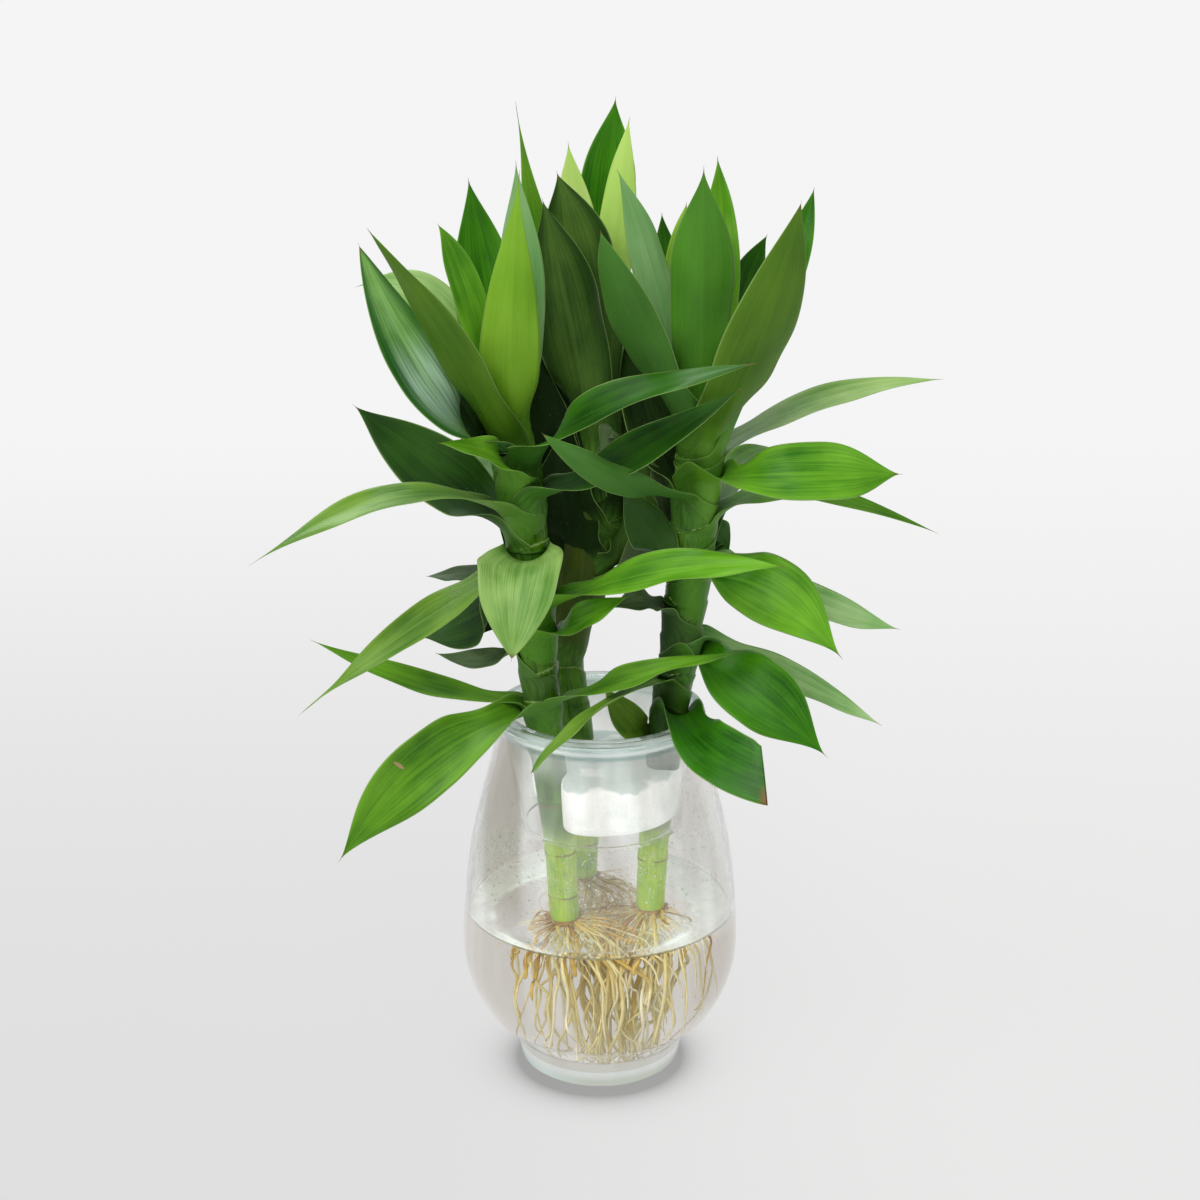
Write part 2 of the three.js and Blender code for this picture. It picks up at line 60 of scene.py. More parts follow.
# Driving dimensions, as on the solids
VASE_HEIGHT = 150.0
VASE_WALL = 2.4
VASE_FLOOR = 5.0
WATER_LEVEL = 69.0
CUP_WALL = 1.2
CUP_LIP = 41.0
CUP_TOP_RADIUS = 36.4
CUP_FOOT_RADIUS = 32.6
CUP_NECK = 138.0
CUP_FOOT = 103.5
CUP_MOUTH = 29.5
PLUG_BOTTOM = 109.0
PLUG_TOP = 130.0
PLUG_RADIUS = 31.6

# The vase's lines as radius and height: its underside, foot, bowl and rim, and the bend down to its floor
VASE_PUNT = [(0, 0.9), (23, 0.9), (25.5, 0.5), (27.5, 0)]
VASE_FOOT = [(29.9, 0), (31.4, 0.9), (32.4, 3), (33, 7), (33.3, 10.5)]
VASE_BOWL = [
    (33.6, 12), (40.4, 19), (46.5, 25), (53.4, 40), (55.2, 58),
    (52, 92), (45.9, 120), (40.4, 141), (40.6, 147), (41.5, 149.4),
]
VASE_RIM = [(41.45, 149.7), (40.9, 150), (40.1, 150.15), (39.4, 150), (38.7, 149.4), (38.3, 148.4)]
VASE_HOLLOW = [(30.9, 9), (29.4, 6.9), (26, 5.7), (13, 5.1)]

# Each stem's line from its cut end to its top, as x, y, z and radius, its sheath mouths and its node scars
STEMS = {
    "left": {
        "line": [
            (-14, -14, 66, 5.7), (-16, -16, 103, 6.0), (-21.5, -14, 148, 6.8), (-24, -14, 180, 7.3),
            (-27, -14, 222, 7.8), (-30, -14, 245, 8.6), (-32, -14, 257, 8.4), (-33, -14, 276, 4.6),
        ],
        "mouths": (158, 172, 190, 206, 222, 238),
        "scars": (78, 97, 118, 139),
    },
    "right": {
        "line": [
            (20, -4, 66, 5.7), (21.5, -7, 103, 6.0), (26.5, -6, 148, 6.9), (31.5, -5, 181, 7.6),
            (34.5, -5, 214, 8.2), (37, -5, 249, 8.8), (38, -5, 264, 8.4), (37, -5, 284, 4.6),
        ],
        "mouths": (154, 168, 184, 198, 212, 228, 242),
        "scars": (90, 112, 136),
    },
    "back": {
        "line": [
            (-7, 26, 66, 5.7), (-6.5, 21, 103, 6.0), (-10, 20, 140, 6.6), (-14, 20, 164, 7.0),
            (-8, 20, 189, 7.4), (-1, 20, 214, 8.6), (0, 20, 250, 8.8), (0, 20, 268, 8.2), (1, 20, 288, 4.6),
        ],
        "mouths": (160, 182, 204, 226, 246),
        "scars": (84, 104, 128),
    },
}
SHEATH_STEP = 0.7  # how far the skin steps back in at a sheath's mouth
SHEATH_FIRST = 14.0  # how far below its mouth the lowest sheath starts


def leaf(look, foot, mid, tip, wide, face, **shape):
    """A leaf: its look, the height of its foot, its rib's middle and tip, its width and its flat's facing.

    In shape, twist is degrees of turn added towards the tip, cup the half angle of the blade's trough, wave
    its edge's ripple, broad where along it the blade is widest, base its foot's share of that width, point
    how far its tip is drawn out, torn the share that a torn leaf keeps and skew the slant of its cut in mm.
    """
    place = {"look": look, "foot": foot, "mid": mid, "tip": tip, "wide": wide, "face": face}
    bends = {"twist": 0, "cup": 18, "wave": 0.6, "skew": 0}
    width = {"broad": 0.42, "base": 0.55, "point": 1.3, "torn": 1}
    return {**place, **bends, **width, **shape}


LEAVES = {
    "left": {
        "left_shiny": leaf("glossy", 256, (-65, -30, 293), (-87, -24, 339), 25, (0.45, -0.85, 0.3),
                           base=1.1, broad=0.3, point=0.9),
        "left_olive": leaf("olive", 262, (-56, -42, 308), (-81, -52, 349), 19, (0.4, 0.8, 0.45),
                           broad=0.3, base=0.95),
        "left_rear": leaf("fresh_and_sheen", 260, (-61, 8, 308.5), (-93, 20, 314), 18, (0.1, -0.75, 0.65), base=0.7),
        "left_dark": leaf("rich", 266, (-42, 6, 312), (-49, 12, 357), 26, (0.1, -1, 0.2), base=0.7),
        "left_front": leaf("lime", 270, (-32, -34, 313), (-28, -40, 367), 22, (0, 0.95, 0.3),
                           base=0.8, point=1.7, broad=0.36),
        "left_wavy": leaf("mid", 245, (-38, -36, 262), (-59, -48, 271), 16, (0, -0.5, 0.9), wave=1.6),
        "left_long": leaf("soft", 236, (-74, -43, 249), (-125, -68, 231), 14, (0, -0.4, 0.9),
                          point=1.7, broad=0.5),
        "left_broad": leaf("dim", 228, (-63, 0, 247), (-94, 6, 272), 29, (0.3, -0.8, 0.5), wave=0.8),
        "left_shield": leaf("pale", 218, (-29, -53, 220), (-32, -66, 194), 33, (-0.15, -1, 0.25),
                            cup=34, broad=0.42, point=0.9),
        "left_scrap": leaf("grey", 210, (-52, 6, 204), (-68, 10, 202), 9, (0, -0.5, 0.8)),
        "left_arrow": leaf("soft", 213, (-72, -32, 194), (-113, -46, 165), 14, (0.2, -0.8, 0.6),
                           twist=60, broad=0.3, point=1.7),
        "left_shade": leaf("dim", 204, (-50, 2, 188), (-70, 8, 177), 27, (0, -0.8, 0.6), base=1.25),
        "left_grey": leaf("grey", 180, (-46, -8, 174), (-64, -6, 176), 9, (0, -0.7, 0.7)),
        "left_thin": leaf("mid", 158, (-69, -14, 167), (-111, -16, 185), 10, (0, -0.7, 0.7)),
        "left_low": leaf("mid", 156, (-65, -46, 146), (-98, -60, 112), 25, (0.3, -0.85, 0.4),
                         wave=0.8, base=0.32, broad=0.5),
        "left_bright": leaf("bright", 188, (-6, -28, 198), (11, -32, 208), 13, (0, -0.7, 0.8)),
        "reach_high": leaf("deep", 254, (1, -45, 283), (56, -56, 302), 20, (0, -0.5, 0.85),
                           wave=1.0, base=0.7),
        "reach_low": leaf("deep", 242, (13, -34, 263), (52, -40, 290), 18, (0, -0.65, 0.8), wave=0.8),
        "reach_bright": leaf("bright", 199, (24, -42, 221), (68, -48, 224), 16, (0, -0.7, 0.8), wave=1),
        "reach_grey": leaf("mid", 160, (15, -38, 179), (52, -36, 187), 10, (0, -0.6, 0.8), wave=1.3),
        "rear_left": leaf("mid", 218, (-46, 30, 240), (-70, 62, 228), 18, (0, 0, 1)),
    },
    "right": {
        "right_blue": leaf("blue", 275, (19, -11, 326), (6, -15, 364), 14, (0.2, -1, 0.1)),
        "right_slant": leaf("deep", 266, (11, -32, 313), (0, -38, 346), 20, (0.3, 0.8, 0.4)),
        "right_tall": leaf("rich", 272, (37, -20, 323), (37, -22, 366), 24, (0, -1, 0.1),
                           point=1.5, wave=1, broad=0.5),
        "right_corner": leaf("deep", 268, (53, 14, 310), (63, 16, 335), 14, (0, -1, 0)),
        "right_olive": leaf("olive", 263, (59, -40, 311), (70, -48, 358), 27, (-0.3, 0.9, 0.3),
                            base=0.75, broad=0.36, point=1.05),
        "right_spear": leaf("rich", 257, (68, -5, 318), (78, -6, 356), 15, (-0.4, -0.9, 0.1)),
        "right_cross": leaf("deep", 240, (4, -47, 258), (-21, -53, 276), 11, (0, -1, 0.4), point=0.9),
        "right_pale": leaf("fresh_and_sheen", 254, (86, 18, 271), (133, 26, 277), 12, (0, -0.6, 0.8)),
        "right_bright": leaf("bright", 247, (69, -34, 255.5), (113, -18, 251), 24, (-0.1, -0.8, 0.6),
                             broad=0.66, base=0.25),
        "right_twist": leaf("mid", 230, (76, 0, 239), (131, 8, 220), 12, (0, -0.5, 0.8)),
        "right_arch": leaf("bright", 208, (65, -26, 206.5), (91, -36, 184), 27, (-0.2, -0.7, 0.6),
                           base=1.0, point=1.6, broad=0.5),
        "right_arch_rear": leaf("blue", 214, (83, 6, 193), (118, 10, 180), 15, (-0.1, -0.7, 0.6)),
        "right_fold": leaf("rich", 176, (60, -30, 168), (86, -40, 146), 27, (-0.2, -0.8, 0.5),
                           wave=1, point=1.6, broad=0.5),
        "right_fold_rear": leaf("blue", 182, (77, 2, 162), (112, 6, 141), 12, (-0.1, -0.7, 0.6)),
        "right_torn": leaf("torn", 154, (43, -44, 150.5), (61, -60, 147), 23, (-0.3, -0.8, 0.5),
                           torn=0.62, skew=5),
        "right_under": leaf("soft", 168, (-3, -46, 166), (-26, -62, 148), 9, (0.2, 0.5, 0.8),
                            broad=0.72, point=0.6),
        "right_mouth": leaf("olive", 141, (12.5, -7, 147), (2, -9, 162), 13, (0.3, -0.9, 0.2),
                            wave=0.1, broad=0.5, base=0.8, point=0.8, cup=10),
        "right_inner": leaf("dim", 212, (18, -14, 229), (8, -16, 246), 17, (0.3, -0.9, 0.2)),
        "right_stub": leaf("grey", 194, (16, -12, 199), (5, -20, 199), 13, (0, -0.5, 0.8)),
        "rear_right": leaf("mid", 222, (60, 34, 244), (84, 66, 232), 17, (0, 0, 1)),
    },
    "back": {
        "back_whip": leaf("mid", 262, (-21.5, 23, 322), (-31.5, 25, 383), 15, (0.2, -1, 0),
                          broad=0.3, point=2),
        "back_black": leaf("black", 258, (-12, -6, 311), (-21, -12, 353), 27, (0.2, -1, 0), wave=1.2),
        "back_dark": leaf("black", 266, (-7, 6, 319), (-16, 0, 361), 30, (0.1, -1, 0.1),
                          wave=1.3, broad=0.5),
        "back_top": leaf("rich", 276, (2, 33, 333), (6, 36, 384), 22, (0, -1, 0.1), broad=0.6),
        "back_slim": leaf("shade", 240, (-22, 13, 286), (-27, 15, 311), 13, (0.2, -1, 0)),
        "back_tuck": leaf("shade", 208, (-14, 6, 232), (-16, 4, 262), 26, (0.3, -1, 0)),
        "back_blade": leaf("black", 204, (16, 14, 224), (18, 16, 271), 20, (-0.2, -1, 0)),
        "rear_middle": leaf("mid", 232, (12, 62, 254), (22, 96, 232), 19, (0, 0, 1)),
    },
}

# Old leaves and wraps deep between the canes, where the solids have only the leaf in front of them. Most are
# coloured near black, as painted shade
SHADED = {
    "left": {
        "left_under": leaf("shade", 256, (-47, -20, 272), (-60, -18, 294), 18, (0.45, -0.85, 0.3),
                           base=1.2),
        "left_fill": leaf("shade", 206, (-39, 2, 193), (-46, 4, 180), 21, (0, -1, 0.2), base=1.1),
    },
    "right": {
        "right_low": leaf("deep", 216, (44.5, 4, 221), (50, 6, 210), 14, (0, -0.9, 0.3), wave=0.8),
        "right_high": leaf("shade", 240, (18, 12, 268), (11, 14, 306), 20, (0, -1, 0),
                           wave=0.8, base=0.8),
        "right_curl": leaf("grey", 222, (25, 2, 236), (19, 2, 252), 12, (0.4, -0.8, 0.2), wave=1),
    },
    "back": {
        "back_gap": leaf("shade", 204, (-16, 12, 214), (-21, 10, 229), 13, (0.3, -1, 0), base=0.9),
        "back_fill": leaf("shade", 222, (-19, 8, 254), (-22, 6, 294), 24, (0.2, -1, 0), base=0.9),
        "back_wide": leaf("shade", 232, (-13, 14, 268), (-18, 14, 304), 24, (0, -1, 0),
                          base=0.9, wave=0.8),
        "back_wrap": leaf("olive_shade", 172, (-7, 10, 205), (-4, 9, 240), 25, (0, -1, 0),
                          base=0.9, cup=50),
        "back_right": leaf("shade", 226, (12, 16, 256), (16, 20, 284), 20, (0, -1, 0), base=0.8),
        "back_under": leaf("grey", 250, (4, 8, 262), (0, 5, 246), 9, (0, -1, 0.2)),
        "back_edge": leaf("grey", 196, (18, 12, 214), (17, 10, 234), 15, (0.3, -1, 0), wave=1),
    },
}

# Young upright leaves, grown into one piece with their stem
HEARTS = {
    "left": [
        leaf("bright", 262, (-48, -12, 316), (-59, -14, 344), 13, (0.3, -0.9, 0.2)),
        leaf("blue", 268, (-29, -20, 318), (-30, -22, 368), 19, (-0.1, -1, 0.1)),
    ],
    "right": [
        leaf("bright", 272, (44, 2, 325), (43, 4, 366), 17, (-0.1, -1, 0.1)),
        leaf("lime", 268, (31, 2, 317), (32, 4, 349), 16, (0, -1, 0)),
        leaf("deep", 272, (27, 10, 315), (23, 12, 344), 12, (0, -1, 0)),
    ],
    "back": [
        leaf("young", 280, (6, 18, 336), (11, 20, 378), 15, (-0.2, -1, 0)),
        leaf("young", 276, (-8, 26, 328), (-12, 27, 368), 18, (0, -1, 0)),
    ],
}


def smooth(low, high, x):
    """A soft step from 0 at low to 1 at high."""
    t = np.clip((x - low) / (high - low), 0, 1)
    return t * t * (3 - 2 * t)


def mix(a, b, t):
    """a at 0 and b at 1."""
    return a + (b - a) * t


def unit(v):
    """Vectors brought to length 1."""
    return v / np.linalg.norm(v, axis=-1, keepdims=True)


def parabola(start, pull, end, t):
    """The curve from start to end at shares t. It leaves start towards pull and comes to end from there."""
    return (1 - t) ** 2 * start + 2 * t * (1 - t) * pull + t ** 2 * end


def colour(red, green, blue, alpha=1.0):
    """A screen colour of 0 to 255 as Blender's linear one."""
    return tuple((c / 255) ** 2.2 for c in (red, green, blue)) + (alpha,)


class Patch:
    """A grid of points, rows by columns, closed round its columns, with its faces turned to look out.

    tone is a value at each point, which paints read. across and along are its UVs, round a row and from the
    first row to the last.
    """

    def __init__(self, points, tone=0.0, across=None, along=None):
        rows, columns = points.shape[:2]
        self.points = points.reshape(-1, 3)
        self.tone = np.broadcast_to(tone, (rows, columns)).reshape(-1)
        across = np.linspace(0, 1, columns + 1) if across is None else across
        along = np.linspace(0, 1, rows) if along is None else along
        i, j = np.meshgrid(np.arange(rows - 1), np.arange(columns), indexing="ij")
        here, there = i * columns + j, i * columns + (j + 1) % columns
        self.faces = np.stack([here, there, there + columns, here + columns], -1).reshape(-1, 4)
        u = np.stack([across[j], across[j + 1], across[j + 1], across[j]], -1)
        v = np.stack([along[i], along[i], along[i + 1], along[i + 1]], -1)
        self.uv = np.stack([u, v], -1).reshape(-1, 4, 2)
        a, b, c, d = (self.points[self.faces[:, k]] for k in range(4))
        if np.sum(a * (np.cross(b, c) + np.cross(c, d))) < 0:
            self.faces = self.faces[:, ::-1]
            self.uv = self.uv[:, ::-1]


def piece(name, patches, material, replaces=()):
    """One smooth object in metres from its patches, riding on the body root."""
    starts = np.cumsum([0] + [len(p.points) for p in patches[:-1]])
    mesh = bpy.data.meshes.new(name)
    points = np.concatenate([p.points for p in patches]) / 1000
    mesh.from_pydata(points, [], np.concatenate([p.faces + s for p, s in zip(patches, starts)]))
    uv = np.concatenate([p.uv for p in patches])
    mesh.uv_layers.new(name="surface").uv.foreach_set("vector", uv.ravel())
    tone = mesh.attributes.new("tone", "FLOAT", "POINT")
    tone.data.foreach_set("value", np.concatenate([p.tone for p in patches]).astype(np.float32))
    shape = bmesh.new()
    shape.from_mesh(mesh)
    bmesh.ops.remove_doubles(shape, verts=shape.verts, dist=2e-7)
    shape.to_mesh(mesh)
    shape.free()
    mesh.polygons.foreach_set("use_smooth", np.ones(len(mesh.polygons), bool))
    mesh.materials.append(material)
    thing = bpy.data.objects.new(name, mesh)
    bpy.context.scene.collection.objects.link(thing)
    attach(thing, "root")
    if replaces:
        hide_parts(*replaces)
    return thing


def turned(profile, tone=0.0, sides=128):
    """A patch turned about Z: a point at radius r and height z goes round as (r cos a, r sin a, z)."""
    profile = np.asarray(profile, float)
    a = np.arange(sides) * 2 * math.pi / sides
    r, z = profile[:, :1], profile[:, 1:]
    return Patch(np.stack([r * np.cos(a), r * np.sin(a), z + 0 * a], -1), tone)


def spline(points, count):
    """A curve through points: a uniform Catmull-Rom cubic between each pair, count steps in all."""
    points = np.asarray(points, float)
    p = np.array([2 * points[0] - points[1], *points, 2 * points[-1] - points[-2]])
    at = np.linspace(0, len(points) - 1, count + 1)
    i = np.minimum(at.astype(int), len(points) - 2)
    t = (at - i)[:, None]
    a, b, c, d = p[i], p[i + 1], p[i + 2], p[i + 3]
    line = 2 * b + (c - a) * t
    square = (2 * a - 5 * b + 4 * c - d) * t ** 2
    cube = (3 * b - 3 * c + d - a) * t ** 3
    return 0.5 * (line + square + cube)


def offset(line, distance):
    """A profile moved to its left by a distance, square to its own run."""
    run = unit(np.gradient(line, axis=0))
    return line + distance * np.stack([-run[:, 1], run[:, 0]], -1)


def tube(path, radius, sides):
    """Points round a path: each ring lies square to it, and the ends are drawn to a point."""
    ahead = unit(np.gradient(path, axis=0))
    side = unit(np.cross(ahead, [0.31, 0.17, 0.93]))
    over = np.cross(ahead, side)
    a = np.arange(sides) * 2 * math.pi / sides
    radius = np.broadcast_to(radius, len(path)).copy()
    radius[[0, -1]] = 0
    ring = np.cos(a)[None, :, None] * side[:, None] + np.sin(a)[None, :, None] * over[:, None]
    return path[:, None] + radius[:, None, None] * ring


STEM_EASE = 6.0  # how far each way a stem's line is eased


def stem_at(stem, z):
    """Centre and radius of a stem at heights z: half its line there and a quarter of it at each side."""
    line = np.array(STEMS[stem]["line"], float)
    z = np.atleast_1d(np.asarray(z, float))

    def eased(column):
        shares = ((-STEM_EASE, 0.25), (0, 0.5), (STEM_EASE, 0.25))
        return sum(share * np.interp(z + away, line[:, 2], line[:, column]) for away, share in shares)

    return np.stack([eased(0), eased(1), z], -1), eased(3)


def sheathed(stem, z):
    """A stem's radius with the skin of its sheaths, which grows to each mouth and steps back in there."""
    mouths = np.array([STEMS[stem]["mouths"][0] - SHEATH_FIRST, *STEMS[stem]["mouths"]], float)
    radius = stem_at(stem, z)[1]
    upper = np.clip(np.searchsorted(mouths, z), 1, len(mouths) - 1)
    share = (z - mouths[upper - 1]) / (mouths[upper] - mouths[upper - 1])
    wrapped = (z > mouths[0]) & (z < mouths[-1])
    return radius + np.where(wrapped, SHEATH_STEP * (share - 0.5), 0)


BLADE_ROWS = 64
SHEATH_ROWS = 18
BLADE_COLUMNS = 16
MOST_CLASP = 1.45  # half angle of the arc by which a blade's foot holds its stem, in radians
YOUNG_CLASP = 1.2  # the same for a young leaf's foot inside its stem
SEAM = 0.985  # share of the way round its stem that a sheath reaches
FOOT_CLEAR = 0.8  # from a sheathed stem to the rib of a blade's foot
YOUNG_FOOT = 0.35  # share of its stem's radius at which a young leaf starts
SHEATH_CLEAR = (0.75, -0.5)  # from a stem to its sheath's rib, at the sheath's mouth and at its foot
WHISKER = 0.985  # share of its length at which a blade has run out to a whisker
BLADE_SKIN = (0.5, 0.16)  # a blade's thickness at its rib and at its edge
KEEL = 0.35  # how far the rib stands out of a blade's underside
CREASE = 0.07  # how far a blade's edge is folded up from its rib, as a share of its half width


def outline(s, base, broad, point):
    """Share of a blade's width at s: a quarter sine up to its widest place, then a drawn-out cosine."""
    rise = mix(base, 1, np.sin(math.pi / 2 * np.clip(s / broad, 0, 1)))
    fall = np.cos(math.pi / 2 * np.clip((s - broad) / (1 - broad), 0, 1) ** 1.25)
    return np.where(s < broad, rise, np.maximum(fall, 0) ** point)


def leaf_rib(stem, blade, sheath, young):
    """A leaf's rib, s along it, how far its sheath and its foot lie from the stem's line, and its way out.

    It climbs the stem for the sheath's length, where s goes from -1 to 0. It then follows a parabola from
    the stem through mid to tip, where s goes from 0 to 1. The bend where the two meet is eased.
    """
    (centre,), (radius,) = stem_at(stem, blade["foot"])
    mid, tip = np.array(blade["mid"], float), np.array(blade["tip"], float)
    out = 2 * mid - (centre + tip) / 2 - centre
    out[2] = 0
    out = unit(out)
    reach = radius * YOUNG_FOOT if young else sheathed(stem, np.array([blade["foot"]]))[0] + FOOT_CLEAR
    start = centre + out * reach
    pull = 2 * mid - (start + tip) / 2
    s = np.linspace(0, 1, BLADE_ROWS + 1)
    rib = parabola(start, pull, tip, s[:, None])
    below = np.linspace(1, 0, SHEATH_ROWS, endpoint=False) if sheath else np.zeros(0)
    z = blade["foot"] - below * sheath
    hold = sheathed(stem, z) + mix(*SHEATH_CLEAR, below ** 2)
    rib = np.concatenate([stem_at(stem, z)[0] + out * hold[:, None], rib])
    if sheath:
        gap = np.linalg.norm(rib - start, axis=1)
        ease = np.exp(-(gap / 6) ** 2)[1:-1, None]
        for _ in range(8):
            rib[1:-1] = mix(rib[1:-1], (rib[:-2] + 2 * rib[1:-1] + rib[2:]) / 4, ease)
    return rib, np.concatenate([-below, s]), hold, reach, out


def leaf_frame(rib, s, out, blade, sheath):
    """Directions ahead, aside and up at each point of a rib.

    Up is carried along the rib without a turn, and past the foot it is rolled about it, so that halfway to
    the tip it looks along face. From there on, twist is added.
    """
    ahead = unit(np.gradient(rib, axis=0))
    carried = np.empty_like(rib)
    normal = -out + (0 if sheath else np.array([0, 0, 0.3]))
    for i, a in enumerate(ahead):
        normal = unit(normal - a * (normal @ a))
        carried[i] = normal
    half = len(s) - 1 - BLADE_ROWS // 2
    flat = np.array(blade["face"], float)
    flat = unit(flat - ahead[half] * (flat @ ahead[half]))
    if flat @ carried[half] < 0:
        flat = -flat
    roll = math.atan2(np.cross(carried[half], flat) @ ahead[half], carried[half] @ flat)
    turn = (roll * smooth(0, 0.5, s) + math.radians(blade["twist"]) * smooth(0.5, 1, s))[:, None]
    up = carried * np.cos(turn) + np.cross(ahead, carried) * np.sin(turn)
    return ahead, np.cross(ahead, up), up


def ripples(wave, q, s, phases):
    """How far a blade lifts off its arc: a slow wave over all of it, and two quick sines at each edge."""
    grows = np.sin(math.pi * np.clip(s, 0, 1))
    lift = wave * q ** 2 * np.sin(3 * math.pi * s + 2.2 * q) * grows
    for hand, first, second in ((q > 0, *phases[:2]), (q < 0, *phases[2:])):
        edge = 0.55 * np.sin(11 * s + first) + 0.35 * np.sin(19 * s + second)
        lift += np.where(hand, (0.35 + wave) * abs(q) ** 3 * edge * grows, 0)
    return lift


def leaf_patch(stem, blade, sheath, seed, young=False):
    """A leaf from its sheath to its tip, as a thin closed skin. A young leaf starts inside its stem.

    Its section is an arc. The arc's half angle falls from a full ring at the sheath's foot to a clasp at
    the blade's foot and then to cup. The blade's halves fold up from a crease at its rib, and its edges
    ripple.
    """
    draw = np.random.default_rng(seed)
    rib, s, hold, reach, out = leaf_rib(stem, blade, sheath, young)
    ahead, side, up = leaf_frame(rib, s, out, blade, sheath)

    share = outline(s * blade["torn"] / WHISKER, blade["base"], blade["broad"], blade["point"])
    width = blade["wide"] / 2 * share * (1 + 0.02 * np.sin(9 * s + draw.uniform(0, 6)))
    if young:
        clasp = min(blade["wide"] / 2 * blade["base"] / reach, YOUNG_CLASP)
    else:
        clasp = min(blade["wide"] / 2 * 1.35 / reach, MOST_CLASP)
        width = mix(reach * clasp, width, smooth(0, 0.22, s))
    width = np.maximum(width, 0.4 * np.sqrt(np.clip(1 - s, 0, 1)) + 0.03)
    phases = draw.uniform(0, 6, 4)
    bend = mix(clasp, math.radians(blade["cup"]), smooth(0, 0.3, s)) * mix(1, 0.35, smooth(0.5, 1, s))
    rows = len(hold)
    bend[:rows] = mix(clasp, math.pi * SEAM, smooth(0, 0.6, -s[:rows]))
    width[:rows] = bend[:rows] * hold

    q = np.linspace(-1, 1, BLADE_COLUMNS + 1)
    s = s[:, None]
    angle = q * bend[:, None]
    arc = (width / bend)[:, None]
    crease = CREASE * width[:, None] * (abs(q) + np.exp(-abs(q) * 6) / 6)
    lift = arc * (1 - np.cos(angle)) + crease * smooth(0.15, 0.4, s) * smooth(1, 0.85, s)
    across = up[:, None] * np.cos(angle)[..., None] - side[:, None] * np.sin(angle)[..., None]
    points = rib[:, None] + side[:, None] * (arc * np.sin(angle))[..., None]
    points += up[:, None] * lift[..., None] + across * ripples(blade["wave"], q, s, phases)[..., None]
    points += ahead[:, None] * (blade["skew"] * q * smooth(0.7, 1, s))[..., None]

    thick = mix(*BLADE_SKIN, q ** 2) * smooth(1.0, 0.93, s)
    if sheath:
        thick = thick * smooth(-1, -0.9, s)
    keel = KEEL * np.exp(-(q / 0.07) ** 2) * smooth(0.9, 0.4, s) * smooth(0.02, 0.2, s)
    upper = points + across * (thick / 2)[..., None]
    lower = points - across * (thick / 2 + keel)[..., None]
    skin = np.concatenate([upper, lower[:, ::-1]], axis=1)
    under = np.concatenate([0 * q, 0 * q + 1])
    u = np.concatenate([q, q[::-1], [-1]]) / 2 + 0.5
    return Patch(skin, tone=under, across=u, along=s[:, 0] / 2 + 0.5)


class Value:
    """An output of a material's nodes. Arithmetic on it, or on a number and it, adds Math nodes."""

    def __init__(self, paint, socket):
        self.paint = paint
        self.socket = socket

    def _math(self, operation, *values):
        return self.paint.read("ShaderNodeMath", {"operation": operation}, dict(enumerate(values)))

    def __add__(self, other):
        return self._math("ADD", self, other)

    def __sub__(self, other):
        return self._math("SUBTRACT", self, other)

    def __rsub__(self, other):
        return self._math("SUBTRACT", other, self)

    def __mul__(self, other):
        return self._math("MULTIPLY", self, other)

    def __truediv__(self, other):
        return self._math("DIVIDE", self, other)

    def __pow__(self, other):
        return self._math("POWER", self, other)

    def __abs__(self):
        return self._math("ABSOLUTE", self)

    def sine(self):
        return self._math("SINE", self)

    def exp(self):
        return self._math("EXPONENT", self)

    def largest(self, other):
        return self._math("MAXIMUM", self, other)

    def step(self, low, high):
        """0 at low and 1 at high, with soft ends."""
        settings = {"interpolation_type": "SMOOTHSTEP"}
        return self.paint.read("ShaderNodeMapRange", settings, {0: self, 1: low, 2: high, 3: 0.0, 4: 1.0})

    __radd__ = __add__
    __rmul__ = __mul__


